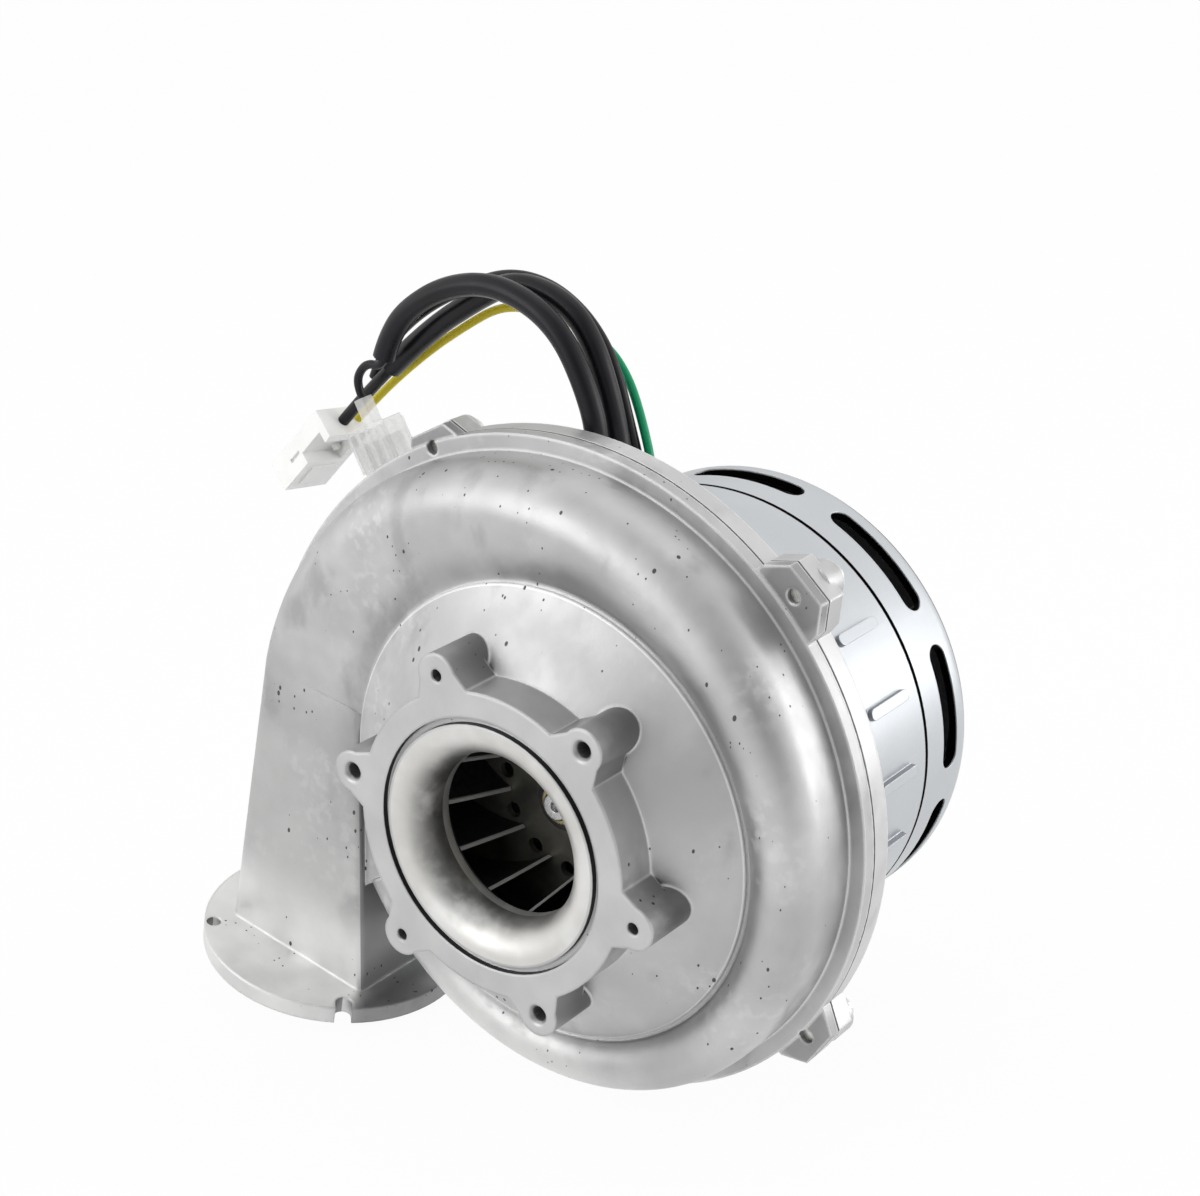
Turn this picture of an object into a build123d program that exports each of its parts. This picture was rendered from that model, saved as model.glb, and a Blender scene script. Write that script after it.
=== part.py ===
from build123d import *
from math import acos, cos, degrees, pi, radians, sin, tan
import os

# A gas boiler's combustion air blower: a two-piece cast volute, a closed impeller
# and an external-rotor motor in a slotted drum.
# Millimetres. +Z is up, the fan axis is Y and the air enters towards +Y.
# The origin is the centre of the inlet ring's machined face.

os.makedirs("parts", exist_ok=True)

# Clearances
SEAT_GAP = 0.05
TIP_GAP = 0.8

# Inlet ring
RING_RADIUS = 41.0
RING_HEIGHT = 12.0
BELL_RADIUS = 9.0
THROAT_RADIUS = 22.4
THROAT_LENGTH = 3.0
LIP_WALL = 1.1
GROOVE_INNER = 32.3
GROOVE_OUTER = 34.1
GROOVE_DEPTH = 1.6
BOLT_CIRCLE_RADIUS = 45.0
BOSS_RADIUS = 5.75
BOSS_WEB_ANGLE = 11.5
M5_TAP_RADIUS = 2.1
M4_TAP_RADIUS = 1.65
M5_CHAMFER = 0.9
TAPPED_DEPTH = 14.0

# Front cone around the ring
CONE_RADIUS = 61.7
CONE_EDGE_Y = 22.0
CAST_WALL = 3.5
EDGE_STEP = 1.2
VALLEY_WIDTH = 1.0

# Scroll: outer wall radius from the tongue round to the outlet
SCROLL_START_WIDTH = 14.3
SCROLL_END_RADIUS = 102.0
SCROLL_START_ANGLE = -137.0
SCROLL_END_ANGLE = 180.0
SCROLL_GROWTH = 2.1
BULGE_START = 0.5
BULGE_HEIGHT = 6.0
SHOULDER_START = 8.0
SHOULDER_SHARE = 0.5
SCROLL_STEPS = 12
CUTOFF_RECESS = 2.2

# Parting plane between the two castings
SEAM_Y = 41.0
FLANGE_WIDTH = 4.5
FLANGE_DEPTH = 4.0
GASKET = 0.6
PLATE_WEB = 4.0
PLATE_RIM = 6.0
RIM_WIDTH = 7.0
PLATE_FOOT = -53.5
LAND_WIDTH = 3.5
FOOT_GAP = 0.3

# Housing screws in the lugs, by how far each hole is outside the scroll's wall and by its angle
LUG_PLACES = {"upper_left": (3.1, 128.8), "upper_right": (8.4, 58.1), "lower_right": (6.0, -23.0),
              "notch": (4.0, -122.0)}
LUG_DEPTH = 3.4
LUG_HALF_WIDTH = 11.5
LUG_TOP_HALF_WIDTH = 6.0
LUG_REACH = 4.6
LUG_BOSS_RADIUS = 5.2
LUG_BOSS_DEPTH = 4.4
HOUSING_SCREW_RADIUS = 1.9
HOUSING_SCREW_HEAD_RADIUS = 3.6
HOUSING_SCREW_HEAD = 2.6
SCREW_TIP_RECESS = 1.5

# Outlet duct and its flange
DUCT_WIDTH_TOP = 38.5
DUCT_WIDTH_FOOT = 51.0
DUCT_DEPTH_FOOT = 37.0
DUCT_CORNER = 2.0
MOUTH_CORNER = 3.0
OUTLET_Z = -91.0
OUTLET_FLANGE = 5.0
OUTLET_RADIUS = 38.8
OUTLET_BOLT_SPACING = 51.0
OUTLET_BOLT_RADIUS = 2.1
NOTCH_RADIUS = 2.4

# Impeller
BLADE_COUNT = 12
BLADE_THICKNESS = 0.8
EYE_RADIUS = 25.8
IMPELLER_INSET = 0.7
IMPELLER_FRONT_Y = 12.8
SHROUD_WALL = 1.5
SHROUD_GAP = 1.7
DISC_FRONT_Y = 35.0
DISC_THICKNESS = 1.8
RELIEF_RADIUS = 2.2
RELIEF_CIRCLE_RADIUS = 21.5
BLADE_ROOT_RADIUS = 20.3
BLADE_SWEEP = 48.0
BLADE_ANGLE = -129.0
HUB_FRONT = 4.0
HUB_RADIUS = 9.0
BUSH_RADIUS = 5.5
BUSH_FRONT_Y = 29.5

# Shaft and bearings
SHAFT_RADIUS = 4.0
SHAFT_FRONT_Y = 27.5
CENTRE_HOLE_RADIUS = 1.4
BEARING_RADIUS = 11.0
BEARING_WIDTH = 7.0
OUTER_RACE_INNER = 9.3
INNER_RACE_OUTER = 5.7
SHIELD = 0.4
WAVE_SPRING = 0.8
SEAL_RADIUS = 9.0
SEAL_RECESS = 0.8

# Stator and rotor
TUBE_WALL = 3.0
TUBE_FLANGE_RADIUS = 24.0
TUBE_FLANGE = 4.0
TUBE_SHOULDER = 2.0
TUBE_BORE_STEP = 1.5
TUBE_SCREW_RADIUS = 1.5
TUBE_SCREW_HEAD_RADIUS = 2.8
TUBE_SCREW_HEAD = 1.6
TUBE_SCREW_CIRCLE = 19.0
STATOR_FRONT_Y = 60.0
STACK = 22.0
TEETH = 9
TOOTH_WIDTH = 6.0
YOKE = 6.0
TOOTH_TIP = 2.6
INSULATOR = 1.0
COIL_WALL = 2.6
MAGNET = 2.4
MAGNETS = 6
ROTOR_WALL = 1.8
ROTOR_FRONT_Y = 58.0
ROTOR_INSET = 1.6
FAN_INSET = 5.3
FAN_BLADES = 11
FAN_BLADE_DEPTH = 13.0
ROTOR_HUB_RADIUS = 8.0

# Motor drum and slotted cap
DRUM_RADIUS = 65.3
DRUM_WALL = 2.5
DRUM_BACK_Y = 104.3
CAP_GAP = 0.9
CAP_BACK_Y = 131.0
CAP_EDGE = 7.0
CAP_LIP = 3.0
CAP_LIP_WALL = 1.5
CAP_RECESS = 2.2
SLOT_COUNT = 9
SLOT_SPAN = 31.0
SLOT_ANGLE = 101.5
SLOT_Y = 118.0
SLOT_WIDTH = 7.6
RIB_ANGLES = (-5.0, 13.0, 31.0, 49.0)
RIB_FRONT_Y = 79.0
RIB_LENGTH = 18.5
RIB_WIDTH = 3.2
RIB_HEIGHT = 1.6
POST_ANGLES = (41.5, 161.5, 281.5)
POST_SPLIT_Y = 100.0
POST_INSET = 8.8
POST_RADIUS = 5.2
MOTOR_SCREW_RADIUS = 1.9
MOTOR_SCREW_HEAD_RADIUS = 3.8
MOTOR_SCREW_HEAD = 1.9

# Control board
BOARD_Y = 51.6
BOARD_THICKNESS = 1.6
BOARD_INNER = 27.0
BOARD_INSET = 0.8
BOARD_EDGE = 1.0
BOARD_POST_ANGLES = (20.0, 140.0, 260.0)
BOARD_POST_RADIUS = 3.0
BOARD_SCREW_RADIUS = 1.25
BOARD_SCREW_HEAD_RADIUS = 2.4
BOARD_SCREW_HEAD = 1.4
CHIP_SIZE = 5.0
CHIP_HEIGHT = 2.2
CAPACITOR_RADIUS = 3.2
CAPACITOR_LENGTH = 12.0
CAPACITOR_ANGLES = (60.0, 80.0, 120.0)

# Cable gland and harness
GLAND_X = -17.5
GLAND_Y = 60.0
GLAND_HEIGHT = 3.7
GLAND_LENGTH = 18.0
GLAND_WIDTH = 20.0
GLAND_LIP = 2.0
GLAND_CORNER = 4.0
SLEEVE_RADIUS = 3.1
THIN_CABLE_RADIUS = 1.7
EARTH_RADIUS = 1.2
TAIL_RADIUS = 1.2
LEAD_RADIUS = 1.7

# Cord routes, chosen by hand from the gland outwards
ROUTES_TOP_Z = 69.0
LEFT_SLEEVE = [(-20.5, 54.0, 69.0), (-20.5, 54.0, 79.0), (-22.8, 54.0, 91.0), (-28.9, 54.0, 101.3),
               (-37.2, 54.0, 110.8), (-48.1, 54.0, 116.1), (-62.3, 54.0, 116.8), (-76.2, 54.0, 111.0),
               (-87.2, 54.0, 101.4), (-92.5, 54.0, 91.9), (-93.7, 54.0, 85.2)]
RIGHT_SLEEVE = [(-18.0, 62.0, 69.0), (-18.0, 62.0, 78.0), (-22.7, 62.3, 90.0), (-27.8, 62.3, 99.7),
                (-33.2, 62.3, 108.1), (-40.4, 62.3, 114.6), (-50.6, 62.3, 117.1), (-61.9, 62.3, 115.5),
                (-72.3, 62.3, 107.0), (-86.5, 62.3, 93.3), (-97.3, 62.3, 79.0)]
THIN_CABLE = [(-16.5, 67.8, 69.0), (-16.5, 67.8, 77.5), (-22.8, 67.8, 89.4), (-28.0, 67.8, 99.6),
              (-34.0, 67.8, 107.5), (-42.8, 67.8, 113.7), (-53.9, 67.8, 116.8), (-66.9, 67.8, 115.2),
              (-80.2, 67.8, 106.8), (-91.2, 67.8, 98.0), (-99.8, 67.8, 88.4), (-105.1, 67.8, 79.4),
              (-107.3, 67.8, 71.1)]
EARTH_LEAD = [(-12.3, 68.0, 69.0), (-12.3, 68.0, 78.0), (-21.0, 70.5, 91.2), (-28.2, 72.6, 99.0),
              (-36.0, 73.0, 104.5), (-47.7, 72.2, 107.2), (-59.0, 71.0, 107.2), (-69.5, 69.8, 104.7),
              (-79.8, 69.0, 95.4), (-90.5, 68.5, 84.6)]
EARTH_LAST_RUN = 14.0
EARTH_OFFSET = 5.5
LEFT_TAIL_RUN = 3.0
LEFT_TAIL = [(-99.4, 54.2, 81.4), (-102.4, 54.5, 76.9), (-102.0, 54.7, 73.0), (-100.2, 54.8, 70.7)]
RIGHT_TAIL_RUN = 12.0
RIGHT_TAIL = [(-112.3, 62.3, 57.4)]
WHITE_PLUG_ACROSS = (0.2, 0.97, 0.0)
CLEAR_PLUG_ACROSS = (1.0, 0.0, 0.0)
WHITE_PLUG_LENGTH = 27.0
WHITE_PLUG_WIDTH = 15.0
WHITE_PLUG_DEPTH = 9.0
CLEAR_PLUG_LENGTH = 21.0
CLEAR_PLUG_WIDTH = 15.0
CLEAR_PLUG_DEPTH = 9.0
PLUG_ROUND = 1.0
CORD_SHARE = 0.45

# Places that follow from the sizes above
BELL_CENTRE = THROAT_RADIUS + BELL_RADIUS
LIP_Y = BELL_RADIUS + THROAT_LENGTH
CONE_SLOPE = (CONE_EDGE_Y - RING_HEIGHT) / (CONE_RADIUS - RING_RADIUS)
PLATE_FRONT_Y = SEAM_Y + GASKET
PLATE_WEB_Y = PLATE_FRONT_Y + PLATE_WEB
PLATE_RIM_Y = PLATE_FRONT_Y + PLATE_RIM
TONGUE_Z = PLATE_FOOT - FOOT_GAP
SCROLL_START_RADIUS = CONE_RADIUS + SCROLL_START_WIDTH
IMPELLER_RADIUS = CONE_RADIUS - CAST_WALL - IMPELLER_INSET
DUCT_LEFT = -SCROLL_END_RADIUS
DUCT_RIGHT = DUCT_LEFT + DUCT_WIDTH_FOOT
DUCT_CENTRE = DUCT_LEFT + DUCT_WIDTH_FOOT / 2
DUCT_FRONT_Y = SEAM_Y - DUCT_DEPTH_FOOT / 2
DUCT_BACK_Y = SEAM_Y + DUCT_DEPTH_FOOT / 2
OUTLET_TOP_Z = OUTLET_Z + OUTLET_FLANGE
FRONT_BEARING_Y = PLATE_WEB_Y
TUBE_OUTER = BEARING_RADIUS + TUBE_WALL
STATOR_BACK_Y = STATOR_FRONT_Y + STACK
REAR_SHOULDER_Y = STATOR_BACK_Y + TUBE_SHOULDER
REAR_BEARING_Y = REAR_SHOULDER_Y + WAVE_SPRING
TUBE_BACK_Y = REAR_BEARING_Y + BEARING_WIDTH
ROTOR_HUB_Y = TUBE_BACK_Y + 0.6
ROTOR_DISC_Y = ROTOR_HUB_Y + 1.6
ROTOR_BACK_Y = ROTOR_DISC_Y + ROTOR_WALL
SHAFT_BACK_Y = ROTOR_BACK_Y + 2.6
DRUM_INNER = DRUM_RADIUS - DRUM_WALL
POST_CIRCLE_RADIUS = DRUM_RADIUS - POST_INSET
POST_CLEAR_RADIUS = POST_CIRCLE_RADIUS - POST_RADIUS
FAN_RADIUS = POST_CLEAR_RADIUS - FAN_INSET
BOARD_OUTER = POST_CLEAR_RADIUS - BOARD_INSET
BOARD_POST_CIRCLE = BOARD_OUTER - 1.5 * BOARD_EDGE - BOARD_POST_RADIUS
CAPACITOR_CIRCLE = BOARD_OUTER - BOARD_EDGE - CAPACITOR_RADIUS
ROTOR_OUTER = CAPACITOR_CIRCLE - CAPACITOR_RADIUS - ROTOR_INSET
ROTOR_INNER = ROTOR_OUTER - ROTOR_WALL
MAGNET_INNER = ROTOR_INNER - MAGNET
STATOR_RADIUS = MAGNET_INNER - TIP_GAP
CAP_FRONT_Y = DRUM_BACK_Y + CAP_GAP
CAP_FACE_Y = CAP_BACK_Y - DRUM_WALL
BOARD_BACK_Y = BOARD_Y + BOARD_THICKNESS
GLAND_TOP_Z = DRUM_RADIUS + GLAND_HEIGHT


def polar(radius, angle):
    """X and Z of a point at a radius and an angle about the fan axis, +X towards +Z."""
    return radius * cos(radians(angle)), radius * sin(radians(angle))


def slab(outline, front, back):
    """A flat outline, drawn as seen from the front, given its depth along the fan axis."""
    return extrude(Plane.XZ.offset(-front) * outline, -(back - front))


def disc(radius, front, back, x=0.0, z=0.0):
    """A round bar along the fan axis."""
    return slab(Pos(x, z) * Circle(radius), front, back)


def tube(outer, inner, front, back, x=0.0, z=0.0):
    """A round sleeve along the fan axis."""
    return slab(Pos(x, z) * (Circle(outer) - Circle(inner)), front, back)


def turned(*points):
    """A solid turned about the fan axis from (radius, y) points."""
    return revolve(make_face(Polyline(*points, close=True)), Axis.Y)


def around(shape, angles):
    """Copies of one shape, turned about the fan axis."""
    return [Rot(0, -angle, 0) * shape for angle in angles]


def even(count, first=0.0):
    """Angles of a full circle of equal steps."""
    return [first + 360 * index / count for index in range(count)]


def save(name, *shapes):
    """Write one named piece, or one group of like pieces, to its own file."""
    solids = [solid for shape in shapes for solid in shape.solids()]
    export_step(Compound(children=solids) if len(solids) > 1 else solids[0], f"parts/{name}.step")


# Front casting: the scroll


def scroll_share(angle):
    """How far round the scroll an angle lies, from 0 at the tongue to 1 at the outlet."""
    return max(0.0, (angle - SCROLL_START_ANGLE) / (SCROLL_END_ANGLE - SCROLL_START_ANGLE))


def wall_radius(angle):
    """Outer radius of the scroll's wall."""
    growth = SCROLL_END_RADIUS - SCROLL_START_RADIUS
    return SCROLL_START_RADIUS + growth * scroll_share(angle) ** SCROLL_GROWTH


def scroll_section(angle, inset, inner_radius, back):
    """Closed half section of the scroll: valley, bulged front, round shoulder and wall."""
    swell = sin(pi * scroll_share(angle))
    valley_y = CONE_EDGE_Y + EDGE_STEP
    crest_y = valley_y - BULGE_START - BULGE_HEIGHT * swell
    width = wall_radius(angle) - CONE_RADIUS - VALLEY_WIDTH
    shoulder = SHOULDER_START + (SHOULDER_SHARE * width - SHOULDER_START) * swell
    crest_r = wall_radius(angle) - shoulder
    span = width - shoulder
    rise = valley_y - crest_y
    crown = (span**2 + rise**2) / (2 * rise) - inset
    half = acos((crown - rise) / crown) / 2
    round_off = shoulder - inset
    valley = (crest_r - crown * sin(2 * half), valley_y + inset)
    top = (crest_r - crown * sin(half), crest_y + inset + crown * (1 - cos(half)))
    crest = (crest_r, crest_y + inset)
    bend = (crest_r + round_off * sin(pi / 4), crest_y + shoulder - round_off * cos(pi / 4))
    side = (crest_r + round_off, crest_y + shoulder)
    outline = [
        Line((inner_radius, back), (inner_radius, valley_y + inset)),
        Line((inner_radius, valley_y + inset), valley),
        ThreePointArc(valley, top, crest),
        ThreePointArc(crest, bend, side),
        Line(side, (side[0], back)),
        Line((side[0], back), (inner_radius, back)),
    ]
    along = (-sin(radians(angle)), 0, cos(radians(angle)))
    plane = Plane(origin=(0, 0, 0), x_dir=(cos(radians(angle)), 0, sin(radians(angle))), z_dir=along)
    return plane * make_face(outline)


def scroll_body(inset, inner_radius, back):
    """The scroll swept round the fan axis through its sections."""
    step = (SCROLL_END_ANGLE - SCROLL_START_ANGLE) / SCROLL_STEPS
    angles = [SCROLL_START_ANGLE + step * index for index in range(SCROLL_STEPS + 1)]
    return loft([scroll_section(angle, inset, inner_radius, back) for angle in angles])


def duct_section(z, left, right, front, back, corner):
    """Rectangle across the duct with its two front corners rounded."""
    face = make_face(Polyline((left, front), (right, front), (right, back), (left, back), close=True))
    ends = face.vertices().sort_by(Axis.Y)[:2]
    left_end, right_end = ends.sort_by(Axis.X)
    face = fillet(left_end, corner)
    right_end = face.vertices().sort_by(Axis.X)[-2:].sort_by(Axis.Y)[0]
    return Pos(0, 0, z) * fillet(right_end, DUCT_CORNER)


def duct_bodies(inset, overlap):
    """Upper duct in front of the seam, and the lower duct that widens to the outlet."""
    front = CONE_EDGE_Y + EDGE_STEP - BULGE_START + inset
    foot_front = DUCT_FRONT_Y + inset
    corner = SHOULDER_START - inset
    foot_corner = max(DUCT_CORNER * 1.5 - inset, 1.0)
    split = PLATE_FOOT + LAND_WIDTH if inset else TONGUE_Z
    share = split / OUTLET_TOP_Z
    mid_right = duct_edge(split)
    mid_front = front + (foot_front - front) * share
    mid_corner = corner + (foot_corner - corner) * share
    left = DUCT_LEFT + inset
    upper = loft([
        duct_section(0, left, duct_edge(0) - inset, front, SEAM_Y + overlap, corner),
        duct_section(split, left, mid_right - inset, mid_front, SEAM_Y + overlap, mid_corner),
    ], ruled=True)
    throat_back = SEAM_Y if inset else PLATE_RIM_Y
    lower = loft([
        duct_section(split, left, mid_right - inset, mid_front, throat_back, mid_corner),
        duct_section(OUTLET_TOP_Z, left, DUCT_RIGHT - inset, foot_front, DUCT_BACK_Y - inset, foot_corner),
    ], ruled=True)
    return upper, lower


def duct_edge(z):
    """X of the duct's right wall at a height."""
    return DUCT_LEFT + DUCT_WIDTH_TOP + (DUCT_WIDTH_FOOT - DUCT_WIDTH_TOP) * z / OUTLET_TOP_Z


def tongue_angle(inset):
    """Angle at which the scroll's wall meets the duct's right wall."""
    angle = SCROLL_START_ANGLE
    for _ in range(12):
        angle = -degrees(acos((duct_edge(TONGUE_Z) - inset) / (wall_radius(angle) - inset)))
    return angle


def seam_outline(inset, foot):
    """Scroll and duct as one flat outline at the seam, moved inwards by inset."""
    start = tongue_angle(inset)
    step = (SCROLL_END_ANGLE - start) / SCROLL_STEPS
    angles = [start + step * index for index in range(SCROLL_STEPS + 1)]
    spiral = Spline(*[polar(wall_radius(angle) - inset, angle) for angle in angles])
    left, right = spiral @ 1, spiral @ 0
    sides = Polyline(left, (left.X, foot), (right.X, foot), right)
    return make_face([spiral, *sides.edges()])


def lug_outline(radius, angle):
    """A tapered lug with its hole's centre at a radius and an angle."""
    top = radius + LUG_REACH
    shoulder = radius - LUG_REACH / 3
    root = radius - 3 * LUG_REACH
    outline = Polyline((root, -LUG_HALF_WIDTH), (shoulder, -LUG_HALF_WIDTH + 1), (top, -LUG_TOP_HALF_WIDTH),
                       (top, LUG_TOP_HALF_WIDTH), (shoulder, LUG_HALF_WIDTH - 1), (root, LUG_HALF_WIDTH),
                       close=True)
    return Rot(0, 0, angle) * make_face(outline)


def at_lugs(shape):
    """Copies of a shape drawn on the fan axis, one at each lug hole."""
    places = [polar(radius, angle) for radius, angle in lugs]
    return [Pos(x, 0, z) * shape for x, z in places]


lugs = [(wall_radius(angle) + outside, angle) for outside, angle in LUG_PLACES.values()]
flange_outline = seam_outline(-FLANGE_WIDTH, PLATE_FOOT)
cavity_outline = seam_outline(CAST_WALL, PLATE_FOOT + LAND_WIDTH)
with_lugs = flange_outline
for lug_radius, lug_angle in lugs:
    with_lugs += lug_outline(lug_radius, lug_angle)

fan_space = revolve(make_face([
    Line((0, -1), (BELL_CENTRE, -1)),
    Line((BELL_CENTRE, -1), (BELL_CENTRE, 0)),
    ThreePointArc((BELL_CENTRE, 0), (BELL_CENTRE - BELL_RADIUS * sin(pi / 4),
                                     BELL_RADIUS - BELL_RADIUS * cos(pi / 4)), (THROAT_RADIUS, BELL_RADIUS)),
    Line((THROAT_RADIUS, BELL_RADIUS), (THROAT_RADIUS, LIP_Y)),
    Line((THROAT_RADIUS, LIP_Y), (THROAT_RADIUS + LIP_WALL, LIP_Y)),
    Line((THROAT_RADIUS + LIP_WALL, LIP_Y), (EYE_RADIUS + 2, LIP_Y - 1)),
    Line((EYE_RADIUS + 2, LIP_Y - 1), (RING_RADIUS, RING_HEIGHT + CAST_WALL + 1)),
    Line((RING_RADIUS, RING_HEIGHT + CAST_WALL + 1), (CONE_RADIUS - CAST_WALL, CONE_EDGE_Y + CAST_WALL)),
    Line((CONE_RADIUS - CAST_WALL, CONE_EDGE_Y + CAST_WALL), (CONE_RADIUS - CAST_WALL, SEAM_Y + 1)),
    Line((CONE_RADIUS - CAST_WALL, SEAM_Y + 1), (0, SEAM_Y + 1)),
    Line((0, SEAM_Y + 1), (0, -1)),
]), Axis.Y)

front_cone = turned((0, 0), (RING_RADIUS, 0), (RING_RADIUS, RING_HEIGHT), (CONE_RADIUS, CONE_EDGE_Y),
                    (CONE_RADIUS, CONE_EDGE_Y + EDGE_STEP + CAST_WALL), (0, CONE_EDGE_Y + EDGE_STEP + CAST_WALL))
boss_end = RING_HEIGHT + CONE_SLOPE * (BOLT_CIRCLE_RADIUS + BOSS_RADIUS - RING_RADIUS) + 1
upper_duct, lower_duct = duct_bodies(0.0, 0.0)
upper_hollow, lower_hollow = duct_bodies(CAST_WALL, 1.0)

outer = scroll_body(0.0, CONE_RADIUS - CAST_WALL, SEAM_Y) + upper_duct + lower_duct + front_cone
outer += slab(flange_outline - cavity_outline, SEAM_Y - FLANGE_DEPTH, SEAM_Y)
for lug_radius, lug_angle in lugs:
    lug = lug_outline(lug_radius, lug_angle) - cavity_outline
    outer += slab(lug, SEAM_Y - LUG_DEPTH, SEAM_Y)
boss = Pos(BOLT_CIRCLE_RADIUS, 0) * Circle(BOSS_RADIUS)
boss_web = make_face(Polyline((0, 0), polar(RING_RADIUS, -BOSS_WEB_ANGLE), (BOLT_CIRCLE_RADIUS, -BOSS_RADIUS),
                              (BOLT_CIRCLE_RADIUS, BOSS_RADIUS), polar(RING_RADIUS, BOSS_WEB_ANGLE), close=True))
for copy in around(slab(boss, 0, boss_end) + slab(boss_web, 0, RING_HEIGHT), even(6)):
    outer += copy
cutoff_web = make_face(Polyline((0, 0), (DUCT_LEFT + DUCT_WIDTH_TOP - 1, 0), (duct_edge(TONGUE_Z) - 1, TONGUE_Z),
                                close=True))
cutoff_front = CONE_EDGE_Y + EDGE_STEP - BULGE_START + CUTOFF_RECESS
outer += slab(cutoff_web, cutoff_front, cutoff_front + CAST_WALL)

flange_disc = Pos(DUCT_CENTRE, SEAM_Y, OUTLET_Z) * Cylinder(
    OUTLET_RADIUS, OUTLET_FLANGE, align=(Align.CENTER, Align.CENTER, Align.MIN))
bolt_cut = Cylinder(OUTLET_BOLT_RADIUS, 3 * OUTLET_FLANGE)
notch_cut = Cylinder(NOTCH_RADIUS, 3 * OUTLET_FLANGE) + Pos(OUTLET_RADIUS / 2, 0, 0) * Box(
    OUTLET_RADIUS, 2 * NOTCH_RADIUS, 3 * OUTLET_FLANGE)
for side in (-1, 1):
    offset = OUTLET_BOLT_SPACING / 2
    flange_disc -= Pos(DUCT_CENTRE - offset, SEAM_Y + side * offset, OUTLET_TOP_Z) * bolt_cut
    flange_disc -= Pos(DUCT_CENTRE + offset, SEAM_Y + side * offset, OUTLET_TOP_Z) * Rot(
        0, 0, side * 45) * notch_cut
outer += flange_disc

mouth = Pos(DUCT_CENTRE, SEAM_Y, OUTLET_Z - 1) * extrude(RectangleRounded(
    DUCT_WIDTH_FOOT - 2 * CAST_WALL, DUCT_DEPTH_FOOT - 2 * CAST_WALL, MOUTH_CORNER), OUTLET_FLANGE + 1.5)
hollow = scroll_body(CAST_WALL, CONE_RADIUS - CAST_WALL - 1, SEAM_Y + 1) + upper_hollow
hollow = hollow + lower_hollow + mouth + fan_space
front_housing = outer - hollow
front_housing -= tube(GROOVE_OUTER, GROOVE_INNER, -1, GROOVE_DEPTH)
for m5_angle in (60, 180, 300):
    x, z = polar(BOLT_CIRCLE_RADIUS, m5_angle)
    front_housing -= disc(M5_TAP_RADIUS, -1, TAPPED_DEPTH, x, z)
    front_housing -= Pos(x, 0, z) * turned((0, -0.01), (M5_TAP_RADIUS + M5_CHAMFER, -0.01),
                                           (M5_TAP_RADIUS, M5_CHAMFER), (0, M5_CHAMFER))
for m4_angle in (0, 120, 240):
    front_housing -= disc(M4_TAP_RADIUS, -1, TAPPED_DEPTH, *polar(BOLT_CIRCLE_RADIUS, m4_angle))
for hole in at_lugs(disc(HOUSING_SCREW_RADIUS, SEAM_Y - 2 * LUG_DEPTH, SEAM_Y + 1)):
    front_housing -= hole
save("front_housing", front_housing)

# Rear casting and what joins the two halves

rim = with_lugs - seam_outline(RIM_WIDTH - FLANGE_WIDTH, PLATE_FOOT + RIM_WIDTH)
rear_plate = slab(with_lugs, PLATE_FRONT_Y, PLATE_WEB_Y) + slab(rim, PLATE_FRONT_Y, PLATE_RIM_Y)
for boss in at_lugs(disc(LUG_BOSS_RADIUS, PLATE_WEB_Y, PLATE_RIM_Y + LUG_BOSS_DEPTH)):
    rear_plate += boss
board_posts = around(disc(BOARD_POST_RADIUS, PLATE_WEB_Y, BOARD_Y, BOARD_POST_CIRCLE), BOARD_POST_ANGLES)
for post in board_posts:
    rear_plate += post
rear_plate -= disc(SEAL_RADIUS, PLATE_FRONT_Y - 1, PLATE_WEB_Y + 1)
for hole in at_lugs(disc(HOUSING_SCREW_RADIUS + SEAT_GAP, SEAM_Y, PLATE_RIM_Y + 2 * LUG_BOSS_DEPTH)):
    rear_plate -= hole
for hole in around(disc(MOTOR_SCREW_RADIUS + SEAT_GAP, SEAM_Y, PLATE_RIM_Y, POST_CIRCLE_RADIUS), POST_ANGLES):
    rear_plate -= hole
for hole in around(disc(TUBE_SCREW_RADIUS + SEAT_GAP, SEAM_Y, PLATE_RIM_Y, TUBE_SCREW_CIRCLE), even(3, 90)):
    rear_plate -= hole
for hole in around(disc(BOARD_SCREW_RADIUS + SEAT_GAP, PLATE_WEB_Y, BOARD_Y + 1, BOARD_POST_CIRCLE),
                   BOARD_POST_ANGLES):
    rear_plate -= hole
save("rear_plate", rear_plate)

gasket = slab(with_lugs - cavity_outline, SEAM_Y, PLATE_FRONT_Y)
for hole in at_lugs(disc(HOUSING_SCREW_RADIUS + SEAT_GAP, SEAM_Y - 1, PLATE_FRONT_Y + 1)):
    gasket -= hole
save("housing_gasket", gasket)


def pan_screw(radius, head_radius, head, tip, under_head, drive=0.0):
    """A pan-head screw along the fan axis from its tip to the underside of its head."""
    back = under_head + head if under_head > tip else under_head - head
    low, high = sorted((tip, under_head))
    head_low, head_high = sorted((under_head, back))
    screw = disc(radius, low, high) + disc(head_radius, head_low, head_high)
    if drive:
        slot = Pos(0, back, 0) * Box(2 * drive, head, drive / 2)
        screw -= slot + Rot(0, 90, 0) * slot
    return screw


save("housing_screws", *at_lugs(pan_screw(
    HOUSING_SCREW_RADIUS - SEAT_GAP, HOUSING_SCREW_HEAD_RADIUS, HOUSING_SCREW_HEAD,
    SEAM_Y - LUG_DEPTH + SCREW_TIP_RECESS, PLATE_RIM_Y + LUG_BOSS_DEPTH, HOUSING_SCREW_HEAD_RADIUS / 2)))
save("shaft_seal", tube(SEAL_RADIUS, SHAFT_RADIUS + SEAT_GAP, PLATE_FRONT_Y + SEAL_RECESS, PLATE_WEB_Y))

# Impeller


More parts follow.
